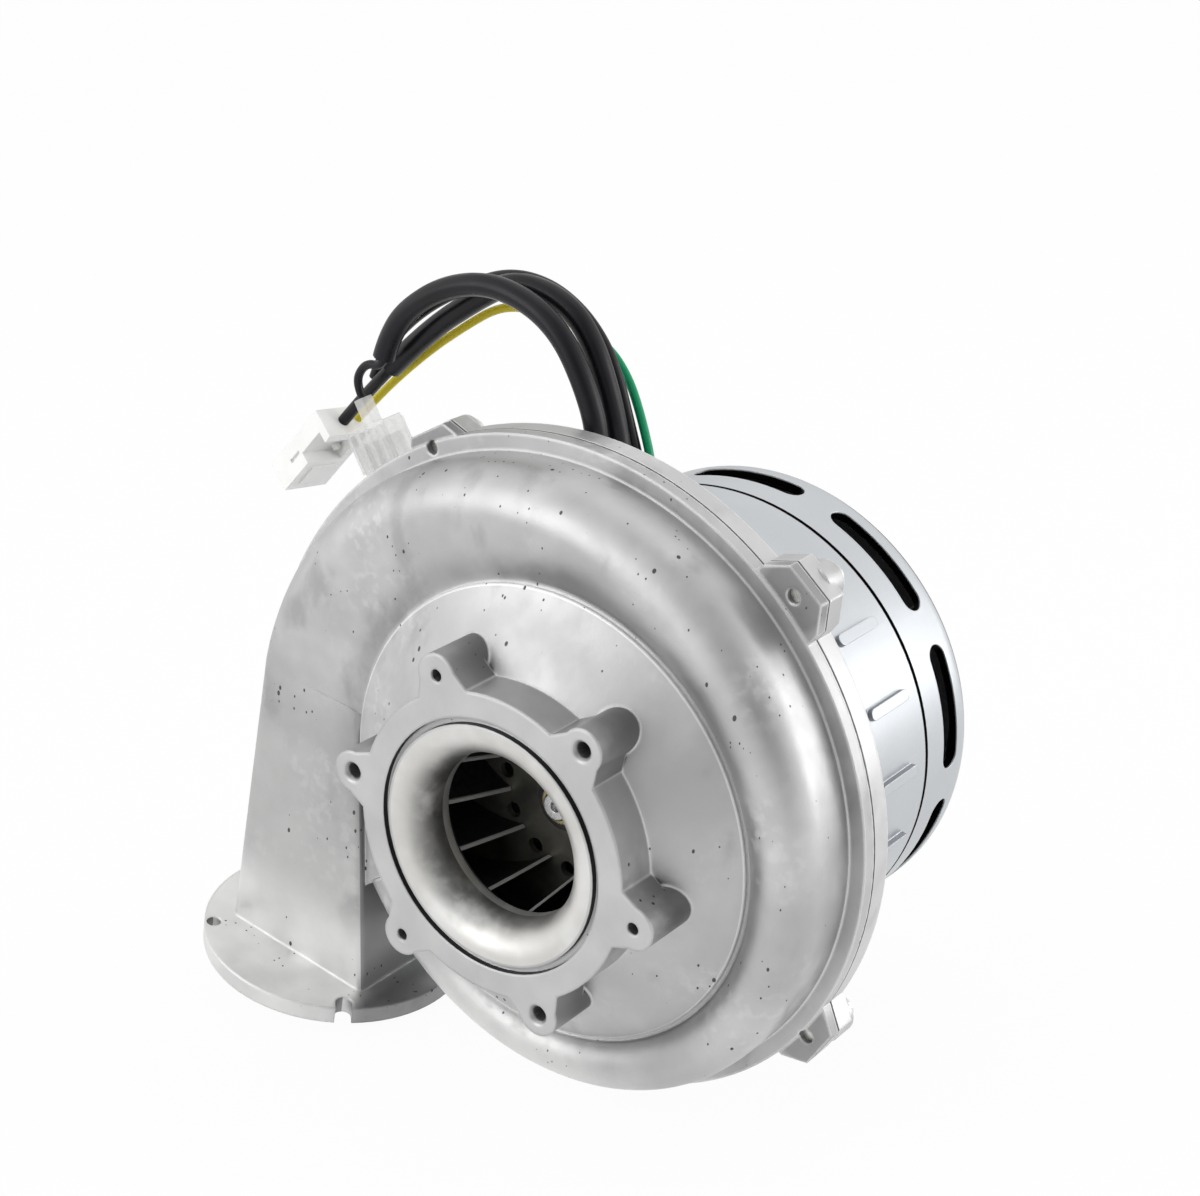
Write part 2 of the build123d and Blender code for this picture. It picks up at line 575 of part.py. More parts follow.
def roof_y(radius):
    """Y of the casing's inner face above the impeller."""
    inner = (EYE_RADIUS + 2, LIP_Y - 1)
    knee = (RING_RADIUS, RING_HEIGHT + CAST_WALL + 1)
    edge = (CONE_RADIUS - CAST_WALL, CONE_EDGE_Y + CAST_WALL)
    low, high = (inner, knee) if radius <= knee[0] else (knee, edge)
    return low[1] + (radius - low[0]) * (high[1] - low[1]) / (high[0] - low[0])


shroud_radii = (EYE_RADIUS + 2, RING_RADIUS, IMPELLER_RADIUS)
shroud_top = [(radius, roof_y(radius) + SHROUD_GAP) for radius in shroud_radii]
shroud_under = [(radius, y + SHROUD_WALL) for radius, y in shroud_top]
eye_inner = EYE_RADIUS - SHROUD_WALL
save("impeller_shroud", turned((eye_inner, IMPELLER_FRONT_Y), (EYE_RADIUS, IMPELLER_FRONT_Y), *shroud_top,
                               *reversed(shroud_under), (eye_inner, IMPELLER_FRONT_Y + SHROUD_WALL)))

blade_space = turned((BLADE_ROOT_RADIUS, DISC_FRONT_Y + 0.1),
                     (eye_inner + 0.5, IMPELLER_FRONT_Y + SHROUD_WALL + SEAT_GAP),
                     *[(radius, y + SEAT_GAP) for radius, y in shroud_under],
                     (IMPELLER_RADIUS, DISC_FRONT_Y + 0.1))
mid_radius = (BLADE_ROOT_RADIUS + IMPELLER_RADIUS) / 2
blade_line = ThreePointArc(polar(BLADE_ROOT_RADIUS - 2, BLADE_SWEEP * 0.07), polar(mid_radius, -BLADE_SWEEP * 0.56),
                           polar(IMPELLER_RADIUS + 1, -BLADE_SWEEP))
blade = slab(trace(blade_line, BLADE_THICKNESS), IMPELLER_FRONT_Y, DISC_FRONT_Y + 0.1) & blade_space
impeller = turned((BUSH_RADIUS, DISC_FRONT_Y - HUB_FRONT), (HUB_RADIUS - 1, DISC_FRONT_Y - HUB_FRONT),
                  (HUB_RADIUS, DISC_FRONT_Y - HUB_FRONT / 2), (HUB_RADIUS + 1.5, DISC_FRONT_Y),
                  (IMPELLER_RADIUS + 1, DISC_FRONT_Y), (IMPELLER_RADIUS + 1, DISC_FRONT_Y + DISC_THICKNESS),
                  (HUB_RADIUS + 1.5, DISC_FRONT_Y + DISC_THICKNESS), (HUB_RADIUS, DISC_FRONT_Y + HUB_FRONT),
                  (BUSH_RADIUS, DISC_FRONT_Y + HUB_FRONT))
relief = disc(RELIEF_RADIUS, DISC_FRONT_Y - 1, DISC_FRONT_Y + DISC_THICKNESS + 1, RELIEF_CIRCLE_RADIUS)
for cut in around(relief, even(BLADE_COUNT, BLADE_ANGLE + 180 / BLADE_COUNT)):
    impeller -= cut
for copy in around(blade, even(BLADE_COUNT, BLADE_ANGLE)):
    impeller += copy
save("impeller", impeller)
save("impeller_bush", tube(BUSH_RADIUS, SHAFT_RADIUS, BUSH_FRONT_Y, DISC_FRONT_Y + HUB_FRONT))

# Shaft and bearings

shaft = turned((0, SHAFT_FRONT_Y), (SHAFT_RADIUS - 0.5, SHAFT_FRONT_Y), (SHAFT_RADIUS, SHAFT_FRONT_Y + 0.5),
               (SHAFT_RADIUS, SHAFT_BACK_Y), (0, SHAFT_BACK_Y))
save("shaft", shaft - disc(CENTRE_HOLE_RADIUS, SHAFT_FRONT_Y - 1, SHAFT_FRONT_Y + 4))
for bearing, front in (("front", FRONT_BEARING_Y), ("rear", REAR_BEARING_Y)):
    back = front + BEARING_WIDTH
    save(f"{bearing}_bearing_outer", tube(BEARING_RADIUS, OUTER_RACE_INNER, front, back))
    save(f"{bearing}_bearing_inner", tube(INNER_RACE_OUTER, SHAFT_RADIUS, front, back))
    shield = tube(OUTER_RACE_INNER, INNER_RACE_OUTER + SEAT_GAP, front + SHIELD, front + 2 * SHIELD)
    save(f"{bearing}_bearing_shields", shield, Pos(0, BEARING_WIDTH - 3 * SHIELD, 0) * shield)
save("preload_spring", tube(BEARING_RADIUS - SEAT_GAP, OUTER_RACE_INNER, REAR_SHOULDER_Y, REAR_BEARING_Y))

# Stator on its bearing tube

bore = BEARING_RADIUS - TUBE_BORE_STEP
bearing_tube = turned((BEARING_RADIUS, PLATE_WEB_Y), (TUBE_FLANGE_RADIUS, PLATE_WEB_Y),
                      (TUBE_FLANGE_RADIUS, PLATE_WEB_Y + TUBE_FLANGE), (TUBE_OUTER, PLATE_WEB_Y + TUBE_FLANGE),
                      (TUBE_OUTER, TUBE_BACK_Y), (BEARING_RADIUS, TUBE_BACK_Y), (BEARING_RADIUS, REAR_SHOULDER_Y),
                      (bore, REAR_SHOULDER_Y), (bore, FRONT_BEARING_Y + BEARING_WIDTH),
                      (BEARING_RADIUS, FRONT_BEARING_Y + BEARING_WIDTH))
for hole in around(disc(TUBE_SCREW_RADIUS + SEAT_GAP, PLATE_FRONT_Y, PLATE_RIM_Y + TUBE_FLANGE,
                        TUBE_SCREW_CIRCLE), even(3, 90)):
    bearing_tube -= hole
save("bearing_tube", bearing_tube)
save("tube_screws", *around(Pos(TUBE_SCREW_CIRCLE, 0, 0) * pan_screw(
    TUBE_SCREW_RADIUS, TUBE_SCREW_HEAD_RADIUS, TUBE_SCREW_HEAD, PLATE_FRONT_Y + GASKET,
    PLATE_WEB_Y + TUBE_FLANGE), even(3, 90)))

tooth = Pos((TUBE_OUTER + STATOR_RADIUS) / 2, 0) * Rectangle(STATOR_RADIUS - TUBE_OUTER - 1, TOOTH_WIDTH)
tip_span = 180 / TEETH - degrees(TOOTH_WIDTH / 3 / STATOR_RADIUS)
tip_cut = Polyline((0, 0), polar(2 * STATOR_RADIUS, -tip_span), polar(2 * STATOR_RADIUS, tip_span), close=True)
tip = (Circle(STATOR_RADIUS) - Circle(STATOR_RADIUS - TOOTH_TIP)) & make_face(tip_cut)
lamination = Circle(TUBE_OUTER + YOKE) - Circle(TUBE_OUTER)
for angle in even(TEETH):
    lamination += Rot(0, 0, angle) * (tooth + tip)
stator_core = slab(lamination, STATOR_FRONT_Y, STATOR_BACK_Y)
save("stator_core", stator_core)
save("stator_insulators", slab(lamination, STATOR_FRONT_Y - INSULATOR, STATOR_FRONT_Y),
     slab(lamination, STATOR_BACK_Y, STATOR_BACK_Y + INSULATOR))

coil_low = TUBE_OUTER + YOKE + 0.5
coil_high = STATOR_RADIUS - TOOTH_TIP - 0.5
coil_width = TOOTH_WIDTH + 2 * COIL_WALL
coil_height = STACK + 2 * (INSULATOR + COIL_WALL)
coil_middle = Pos((coil_low + coil_high) / 2, (STATOR_FRONT_Y + STATOR_BACK_Y) / 2, 0)
coil = Box(coil_high - coil_low, coil_height, coil_width)
coil = fillet(coil.edges().filter_by(Axis.X), COIL_WALL / 2)
coil -= Box(2 * coil_high, STACK + 2 * (INSULATOR + SEAT_GAP), TOOTH_WIDTH + 2 * SEAT_GAP)
save("stator_coils", *around(coil_middle * coil, even(TEETH)))

# Rotor and cooling fan

rotor_bell = turned((SHAFT_RADIUS, ROTOR_HUB_Y), (ROTOR_HUB_RADIUS, ROTOR_HUB_Y), (ROTOR_HUB_RADIUS, ROTOR_DISC_Y),
                    (ROTOR_INNER, ROTOR_DISC_Y), (ROTOR_INNER, ROTOR_FRONT_Y), (ROTOR_OUTER, ROTOR_FRONT_Y),
                    (ROTOR_OUTER, ROTOR_BACK_Y), (SHAFT_RADIUS, ROTOR_BACK_Y))
save("rotor_bell", rotor_bell)
magnet_ring = tube(ROTOR_INNER, MAGNET_INNER, STATOR_FRONT_Y, STATOR_BACK_Y)
magnet_gap = Pos(ROTOR_INNER, STATOR_FRONT_Y, 0) * Box(4 * MAGNET, 4 * STACK, TIP_GAP)
for gap in around(magnet_gap, even(MAGNETS)):
    magnet_ring -= gap
save("rotor_magnets", magnet_ring)

fan_front = ROTOR_BACK_Y
fan_hub = tube(FAN_RADIUS, SHAFT_RADIUS + ROTOR_WALL, fan_front, fan_front + ROTOR_WALL)
fan_blade = Pos((FAN_RADIUS + ROTOR_OUTER / 2) / 2, fan_front + FAN_BLADE_DEPTH / 2, 0) * Box(
    FAN_RADIUS - ROTOR_OUTER / 2, FAN_BLADE_DEPTH, BLADE_THICKNESS)
cooling_fan = fan_hub
for copy in around(fan_blade, even(FAN_BLADES)):
    cooling_fan += copy
save("cooling_fan", cooling_fan)

# Motor drum and slotted cap

post = disc(POST_RADIUS, PLATE_WEB_Y, POST_SPLIT_Y, POST_CIRCLE_RADIUS)
post += slab(Pos((POST_CIRCLE_RADIUS + DRUM_INNER) / 2 + 1, 0) * Rectangle(
    DRUM_INNER - POST_CIRCLE_RADIUS, POST_RADIUS), PLATE_WEB_Y, POST_SPLIT_Y)
drum = tube(DRUM_RADIUS, DRUM_INNER, PLATE_WEB_Y, DRUM_BACK_Y)
for copy in around(post, POST_ANGLES):
    drum += copy
for hole in around(disc(MOTOR_SCREW_RADIUS + SEAT_GAP, PLATE_FRONT_Y, POST_SPLIT_Y + 1, POST_CIRCLE_RADIUS),
                   POST_ANGLES):
    drum -= hole
rib = Pos(DRUM_RADIUS, RIB_FRONT_Y + RIB_LENGTH / 2, 0) * extrude(
    Plane.YZ * SlotOverall(RIB_LENGTH, RIB_WIDTH), RIB_HEIGHT, both=True)
for copy in around(rib, [*RIB_ANGLES, *[180 - angle for angle in RIB_ANGLES]]):
    drum += copy
gland_neck = Pos(GLAND_X, GLAND_Y, 0) * extrude(
    RectangleRounded(GLAND_LENGTH - 2 * GLAND_LIP, GLAND_WIDTH - 2 * GLAND_LIP, GLAND_CORNER - GLAND_LIP),
    GLAND_TOP_Z)
drum -= gland_neck
save("motor_drum", drum)

gland = Pos(GLAND_X, GLAND_Y, 0) * extrude(RectangleRounded(GLAND_LENGTH, GLAND_WIDTH, GLAND_CORNER), GLAND_TOP_Z)
gland -= disc(DRUM_RADIUS, 0, DRUM_BACK_Y)
gland += gland_neck - disc(DRUM_INNER - GLAND_LIP, 0, DRUM_BACK_Y)
save("cable_gland", gland)

edge = CAP_EDGE
inner_edge = CAP_EDGE - DRUM_WALL
shell = make_face([
    Line((0, CAP_BACK_Y), (DRUM_RADIUS - edge, CAP_BACK_Y)),
    ThreePointArc((DRUM_RADIUS - edge, CAP_BACK_Y),
                  (DRUM_RADIUS - edge * (1 - sin(pi / 4)), CAP_BACK_Y - edge * (1 - cos(pi / 4))),
                  (DRUM_RADIUS, CAP_BACK_Y - edge)),
    Line((DRUM_RADIUS, CAP_BACK_Y - edge), (DRUM_RADIUS, CAP_FRONT_Y)),
    Line((DRUM_RADIUS, CAP_FRONT_Y), (DRUM_INNER - SEAT_GAP, CAP_FRONT_Y)),
    Line((DRUM_INNER - SEAT_GAP, CAP_FRONT_Y), (DRUM_INNER - SEAT_GAP, CAP_FRONT_Y - CAP_LIP)),
    Line((DRUM_INNER - SEAT_GAP, CAP_FRONT_Y - CAP_LIP), (DRUM_INNER - CAP_LIP_WALL, CAP_FRONT_Y - CAP_LIP)),
    Line((DRUM_INNER - CAP_LIP_WALL, CAP_FRONT_Y - CAP_LIP), (DRUM_INNER - CAP_LIP_WALL, CAP_FRONT_Y + CAP_LIP)),
    Line((DRUM_INNER - CAP_LIP_WALL, CAP_FRONT_Y + CAP_LIP), (DRUM_INNER, CAP_FRONT_Y + CAP_LIP)),
    Line((DRUM_INNER, CAP_FRONT_Y + CAP_LIP), (DRUM_INNER, CAP_FACE_Y - inner_edge)),
    ThreePointArc((DRUM_INNER, CAP_FACE_Y - inner_edge),
                  (DRUM_INNER - inner_edge * (1 - sin(pi / 4)), CAP_FACE_Y - inner_edge * (1 - cos(pi / 4))),
                  (DRUM_INNER - inner_edge, CAP_FACE_Y)),
    Line((DRUM_INNER - inner_edge, CAP_FACE_Y), (0, CAP_FACE_Y)),
    Line((0, CAP_FACE_Y), (0, CAP_BACK_Y)),
])
cap = revolve(shell, Axis.Y)
for copy in around(disc(POST_RADIUS, POST_SPLIT_Y + SEAT_GAP, CAP_FACE_Y + 0.5, POST_CIRCLE_RADIUS), POST_ANGLES):
    cap += copy
for cut in around(disc(MOTOR_SCREW_RADIUS + SEAT_GAP, POST_SPLIT_Y - 1, CAP_BACK_Y + 1, POST_CIRCLE_RADIUS)
                  + disc(MOTOR_SCREW_HEAD_RADIUS + SEAT_GAP, CAP_BACK_Y - CAP_RECESS, CAP_BACK_Y + 1,
                         POST_CIRCLE_RADIUS), POST_ANGLES):
    cap -= cut
half_span = radians(SLOT_SPAN / 2) - SLOT_WIDTH / 2 / DRUM_RADIUS
wedge = make_face(Polyline((0, 0), polar(2 * DRUM_RADIUS, -degrees(half_span)),
                           polar(2 * DRUM_RADIUS, degrees(half_span)), close=True))
band = tube(DRUM_RADIUS + 1, DRUM_INNER - CAP_LIP_WALL, SLOT_Y - SLOT_WIDTH / 2, SLOT_Y + SLOT_WIDTH / 2)
slot = band & slab(wedge, SLOT_Y - SLOT_WIDTH, SLOT_Y + SLOT_WIDTH)
slot_end = Pos(DRUM_RADIUS, SLOT_Y, 0) * extrude(Plane.YZ * Circle(SLOT_WIDTH / 2), 2 * DRUM_WALL, both=True)
slot += around(slot_end, (-degrees(half_span), degrees(half_span)))
for cut in around(slot, even(SLOT_COUNT, SLOT_ANGLE)):
    cap -= cut
save("motor_cap", cap)

save("motor_screws", *around(Pos(POST_CIRCLE_RADIUS, 0, 0) * pan_screw(
    MOTOR_SCREW_RADIUS, MOTOR_SCREW_HEAD_RADIUS, MOTOR_SCREW_HEAD, PLATE_RIM_Y + 2 * MOTOR_SCREW_HEAD_RADIUS,
    PLATE_FRONT_Y), POST_ANGLES))
save("cap_screws", *around(Pos(POST_CIRCLE_RADIUS, 0, 0) * pan_screw(
    MOTOR_SCREW_RADIUS, MOTOR_SCREW_HEAD_RADIUS, MOTOR_SCREW_HEAD, POST_SPLIT_Y - 3 * MOTOR_SCREW_HEAD_RADIUS,
    CAP_BACK_Y - CAP_RECESS, MOTOR_SCREW_HEAD_RADIUS / 2), POST_ANGLES))

# Control board

board = tube(BOARD_OUTER, BOARD_INNER, BOARD_Y, BOARD_BACK_Y)
for hole in around(disc(BOARD_SCREW_RADIUS + SEAT_GAP, BOARD_Y - 1, BOARD_BACK_Y + 1, BOARD_POST_CIRCLE),
                   BOARD_POST_ANGLES):
    board -= hole
save("control_board", board)
save("board_screws", *around(Pos(BOARD_POST_CIRCLE, 0, 0) * pan_screw(
    BOARD_SCREW_RADIUS, BOARD_SCREW_HEAD_RADIUS, BOARD_SCREW_HEAD, PLATE_WEB_Y + GASKET, BOARD_BACK_Y),
    BOARD_POST_ANGLES))
save("board_capacitors", *around(disc(CAPACITOR_RADIUS, BOARD_BACK_Y, BOARD_BACK_Y + CAPACITOR_LENGTH,
                                      CAPACITOR_CIRCLE), CAPACITOR_ANGLES))
chip = Pos(BOARD_INNER + CHIP_SIZE, BOARD_BACK_Y + CHIP_HEIGHT / 2, 0) * Box(CHIP_SIZE, CHIP_HEIGHT, CHIP_SIZE)
save("board_transistors", *around(chip, even(6, 10)))

# Harness


def raised(route):
    """A route lifted or lowered with the gland's top."""
    return [(x, y, z + GLAND_TOP_Z - ROUTES_TOP_Z) for x, y, z in route]


def cord_radii(route):
    """Bend radii, one for each inner point of the route, as large as its runs allow."""
    points = [Vector(*point) for point in route]
    radii = []
    for before, point, after in zip(points, points[1:], points[2:]):
        arriving, leaving = point - before, after - point
        turn = radians(arriving.get_angle(leaving))
        radii.append(CORD_SHARE * min(arriving.length, leaving.length) / tan(turn / 2))
    return radii


def cord(name, route, radius):
    """Save a cord's tube of straight runs and tangent arcs, and report its bends and its volume."""
    radii = cord_radii(route)
    path = FilletPolyline(*raised(route), radius=radii)
    solid = sweep(Plane(path @ 0, z_dir=path % 0) * Circle(radius), path=path)
    expected = pi * radius**2 * path.length
    print(name, "length", round(path.length, 1), "tightest bend", round(min(radii), 1),
          "volume over section times length", round(solid.volume / expected, 3))
    save(name, solid)


def last_way(route):
    """Unit direction of a route's last run."""
    return (Vector(*route[-1]) - Vector(*route[-2])).normalized()


def follow(route, run, rest):
    """A lead that leaves a cord's end square to its face and goes on through the rest of its points."""
    return [route[-1], tuple(Vector(*route[-1]) + run * last_way(route)), *rest]


left_tail = follow(LEFT_SLEEVE, LEFT_TAIL_RUN, LEFT_TAIL)
right_tail = follow(RIGHT_SLEEVE, RIGHT_TAIL_RUN, RIGHT_TAIL)
white_plane = Plane(right_tail[-1], x_dir=WHITE_PLUG_ACROSS, z_dir=last_way(right_tail))
earth_end = white_plane.origin + EARTH_OFFSET * white_plane.x_dir
earth_route = [*EARTH_LEAD, tuple(earth_end - EARTH_LAST_RUN * white_plane.z_dir), tuple(earth_end)]
clear_plane = Plane(left_tail[-1], x_dir=CLEAR_PLUG_ACROSS, z_dir=last_way(left_tail))

cord("left_sleeve", LEFT_SLEEVE, SLEEVE_RADIUS)
cord("right_sleeve", RIGHT_SLEEVE, SLEEVE_RADIUS)
cord("thin_cable", THIN_CABLE, THIN_CABLE_RADIUS)
cord("earth_lead", earth_route, EARTH_RADIUS)
cord("left_tail", left_tail, TAIL_RADIUS)
cord("right_tail", right_tail, LEAD_RADIUS)


def plug(plane, length, width, depth, ribs):
    """A crimp housing that starts at a plane's origin and lies along its normal."""
    body = extrude(Rectangle(width, depth), length)
    body = fillet(body.edges().filter_by(Axis.Z), PLUG_ROUND)
    for index in range(ribs):
        offset = (index - (ribs - 1) / 2) * width / ribs
        body += Pos(offset, 0, length / 2) * Box(width / ribs / 2, depth + 2 * PLUG_ROUND, length * 0.8)
    return Pos(0, 0, GLAND_TOP_Z - ROUTES_TOP_Z) * plane * body


save("white_plug", plug(white_plane, WHITE_PLUG_LENGTH, WHITE_PLUG_WIDTH, WHITE_PLUG_DEPTH, 0))
save("clear_plug", plug(clear_plane, CLEAR_PLUG_LENGTH, CLEAR_PLUG_WIDTH, CLEAR_PLUG_DEPTH, 4))
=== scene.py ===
import logging
import math
from dataclasses import dataclass, field
from enum import Enum

import bmesh
import bpy
from mathutils import Matrix, Vector


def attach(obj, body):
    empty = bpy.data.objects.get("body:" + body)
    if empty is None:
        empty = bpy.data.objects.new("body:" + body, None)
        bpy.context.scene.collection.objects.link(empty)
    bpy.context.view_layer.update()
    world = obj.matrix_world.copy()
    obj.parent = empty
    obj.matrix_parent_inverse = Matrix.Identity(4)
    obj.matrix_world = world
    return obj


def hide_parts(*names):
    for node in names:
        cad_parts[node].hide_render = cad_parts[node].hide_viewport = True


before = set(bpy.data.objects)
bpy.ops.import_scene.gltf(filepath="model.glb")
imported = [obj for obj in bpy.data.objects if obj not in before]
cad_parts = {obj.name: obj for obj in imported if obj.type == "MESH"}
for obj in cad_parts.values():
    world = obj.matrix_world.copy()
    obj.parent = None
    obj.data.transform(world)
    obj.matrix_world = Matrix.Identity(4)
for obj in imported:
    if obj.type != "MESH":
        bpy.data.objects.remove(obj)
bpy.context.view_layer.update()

LOG = logging.getLogger("blower")
MM = 0.001
Colour = tuple[float, float, float]
Point = tuple[float, float, float]


class Body(Enum):
    """The two rigid bodies of the blower."""

    CASING = "casing"
    ROTOR = "rotor"


class Operation(Enum):
    """The ways in which a block changes a moulding."""

    JOIN = "UNION"
    CUT = "DIFFERENCE"


class FarEnd(Enum):
    """What a cord ends in."""

    CONNECTOR = "connector"
    BARE = "bare"


class Noise(Enum):
    """Sizes of surface detail, as texture scales per metre."""

    CLOUD = 28.0
    BLOTCH = 95.0
    PATCH = 340.0
    GRAIN = 1500.0


class NodeTree:
    """A node tree with short ways to add and join nodes."""

    def __init__(self, tree: bpy.types.NodeTree) -> None:
        """Wraps a tree.

        Args:
            tree: The tree that the nodes go into.
        """
        self.tree = tree

    def node(self, kind: str, **settings: object) -> bpy.types.Node:
        """Adds a node.

        Args:
            kind: Blender's name for the node type.
            settings: Attributes to set on it.

        Returns:
            The new node.
        """
        made = self.tree.nodes.new(kind)
        for key, value in settings.items():
            setattr(made, key, value)
        return made

    def feed(self, socket: bpy.types.NodeSocket, value: object) -> None:
        """Links a socket to another, or sets its constant.

        Args:
            socket: The input.
            value: An output socket, or a number or colour.
        """
        if isinstance(value, bpy.types.NodeSocket):
            self.tree.links.new(value, socket)
        elif isinstance(value, tuple) and len(value) == 3 and len(socket.default_value) == 4:
            socket.default_value = (*value, 1.0)
        else:
            socket.default_value = value

    def maths(self, operation: str, *values: object, clamp: bool = False) -> bpy.types.NodeSocket:
        """Adds a maths node.

        Args:
            operation: The node's operation.
            values: Its inputs, as sockets or numbers.
            clamp: Whether its result is held between 0 and 1.

        Returns:
            The node's output.
        """
        made = self.node("ShaderNodeMath", operation=operation, use_clamp=clamp)
        for socket, value in zip(made.inputs, values):
            self.feed(socket, value)
        return made.outputs[0]

    def times(self, *values: object) -> bpy.types.NodeSocket:
        """Multiplies values.

        Args:
            values: Sockets or numbers.

        Returns:
            Their product.
        """
        product = values[0]
        for value in values[1:]:
            product = self.maths("MULTIPLY", product, value)
        return product

    def under(self, value: object, limit: object) -> bpy.types.NodeSocket:
        """One where a value is under a limit, and zero elsewhere."""
        return self.maths("LESS_THAN", value, limit)

    def over(self, value: object, limit: object) -> bpy.types.NodeSocket:
        """One where a value is over a limit, and zero elsewhere."""
        return self.maths("GREATER_THAN", value, limit)

    def off(self, value: object, middle: float) -> bpy.types.NodeSocket:
        """How far a value is from a middle."""
        return self.maths("ABSOLUTE", self.maths("SUBTRACT", value, middle))

    def step(self, value: object, low: float, high: float, out_low: float = 0.0,
             out_high: float = 1.0) -> bpy.types.NodeSocket:
        """A smooth step of a value.

        Args:
            value: The value's socket.
            low: Where the step starts.
            high: Where it ends.
            out_low: The result below low.
            out_high: The result above high.

        Returns:
            The stepped value.
        """
        made = self.node("ShaderNodeMapRange", interpolation_type="SMOOTHSTEP")
        for key, number in (("Value", value), ("From Min", low), ("From Max", high),
                            ("To Min", out_low), ("To Max", out_high)):
            self.feed(made.inputs[key], number)
        return made.outputs["Result"]

    def toward(self, vector: object, way: Point) -> bpy.types.NodeSocket:
        """How far a vector points one way.

        Args:
            vector: The vector's socket.
            way: The way, as a vector or another socket.

        Returns:
            The dot product of the two.
        """
        made = self.node("ShaderNodeVectorMath", operation="DOT_PRODUCT")
        self.feed(made.inputs[0], vector)
        self.feed(made.inputs[1], way)
        return made.outputs["Value"]

    def blend(self, share: object, first: object, second: object) -> bpy.types.NodeSocket:
        """Mixes two colours.

        Args:
            share: How much of the second shows.
            first: The first colour or socket.
            second: The second colour or socket.

        Returns:
            The mixed colour.
        """
        made = self.node("ShaderNodeMix", data_type="RGBA")
        self.feed(made.inputs[0], share)
        self.feed(made.inputs[6], first)
        self.feed(made.inputs[7], second)
        return made.outputs[2]


class Shader(NodeTree):
    """A material's node tree while it is being drawn up."""

    def __init__(self, name: str) -> None:
        """Starts a material with one principled surface.

        Args:
            name: The material's name.
        """
        self.material = bpy.data.materials.new(name)
        self.material.use_nodes = True
        super().__init__(self.material.node_tree)
        self.surface = self.tree.nodes["Principled BSDF"]
        self.place = self.node("ShaderNodeTexCoord").outputs["Object"]

    def noise(self, scale: float, detail: float = 3.0, vector: object = None) -> bpy.types.NodeSocket:
        """A noise value.

        Args:
            scale: Its scale per metre.
            detail: How many octaves it has.
            vector: Its coordinates, or None for the object's own.

        Returns:
            The noise's value.
        """
        made = self.node("ShaderNodeTexNoise")
        self.feed(made.inputs["Vector"], self.place if vector is None else vector)
        self.feed(made.inputs["Scale"], scale)
        self.feed(made.inputs["Detail"], detail)
        return made.outputs["Fac"]

    def specks(self, scale: float, size: object, share: float, vector: object = None) -> bpy.types.NodeSocket:
        """Scattered round specks.

        Args:
            scale: Places for a speck, per metre.
            size: A speck's radius, as a share of the distance between places.
            share: How many of the places hold one, from 0 to 1.
            vector: Coordinates, or None for the object's own.

        Returns:
            One inside a speck, and zero outside.
        """
        made = self.node("ShaderNodeTexVoronoi", feature="F1")
        self.feed(made.inputs["Vector"], self.place if vector is None else vector)
        self.feed(made.inputs["Scale"], scale)
        return self.times(self.under(made.outputs["Color"], share), self.under(made.outputs["Distance"], size))

    def stretched(self, scale: Point, turn: Point = (0.0, 0.0, 0.0)) -> bpy.types.NodeSocket:
        """Object coordinates that are scaled apart and turned.

        Args:
            scale: The scale along X, Y and Z.
            turn: The turn about X, Y and Z, in radians.

        Returns:
            The coordinates' socket.
        """
        made = self.node("ShaderNodeMapping")
        self.feed(made.inputs["Vector"], self.place)
        self.feed(made.inputs["Scale"], Vector(scale))
        self.feed(made.inputs["Rotation"], Vector(turn))
        return made.outputs["Vector"]

    def axes(self) -> tuple[bpy.types.NodeSocket, bpy.types.NodeSocket, bpy.types.NodeSocket]:
        """The object's X, Y and Z coordinates, in metres."""
        made = self.node("ShaderNodeSeparateXYZ")
        self.feed(made.inputs[0], self.place)
        return made.outputs[0], made.outputs[1], made.outputs[2]

    def radius(self) -> bpy.types.NodeSocket:
        """Distance from the fan axis, in metres."""
        x, _, z = self.axes()
        return self.maths("SQRT", self.maths("ADD", self.times(x, x), self.times(z, z)))

    def relief(self, height: object, strength: float, depth: float, under: object = None) -> bpy.types.NodeSocket:
        """Bumps a surface.

        Args:
            height: The height's socket.
            strength: How strong the bump is.
            depth: Its depth in metres.
            under: The normal that it adds to, or None.

        Returns:
            The new normal.
        """
        made = self.node("ShaderNodeBump")
        self.feed(made.inputs["Strength"], strength)
        self.feed(made.inputs["Distance"], depth)
        self.feed(made.inputs["Height"], height)
        if under is not None:
            self.feed(made.inputs["Normal"], under)
        return made.outputs["Normal"]

    def rounded(self, radius: object) -> tuple[bpy.types.NodeSocket, bpy.types.NodeSocket]:
        """Softens edges.

        Args:
            radius: The edges' radius in metres.

        Returns:
            The rounded normal, and how near an edge the surface is.
        """
        made = self.node("ShaderNodeBevel", samples=4)
        self.feed(made.inputs["Radius"], radius)
        flat = self.node("ShaderNodeNewGeometry").outputs["Normal"]
        near = self.maths("SUBTRACT", 1.0, self.toward(made.outputs["Normal"], flat), clamp=True)
        return made.outputs["Normal"], near

    def finish(self, **sockets: object) -> bpy.types.Material:
        """Sets the surface's inputs.

        Args:
            sockets: Values or sockets by input name, with spaces as underscores.

        Returns:
            The finished material.
        """
        for key, value in sockets.items():
            self.feed(self.surface.inputs[key.replace("_", " ")], value)
        return self.material


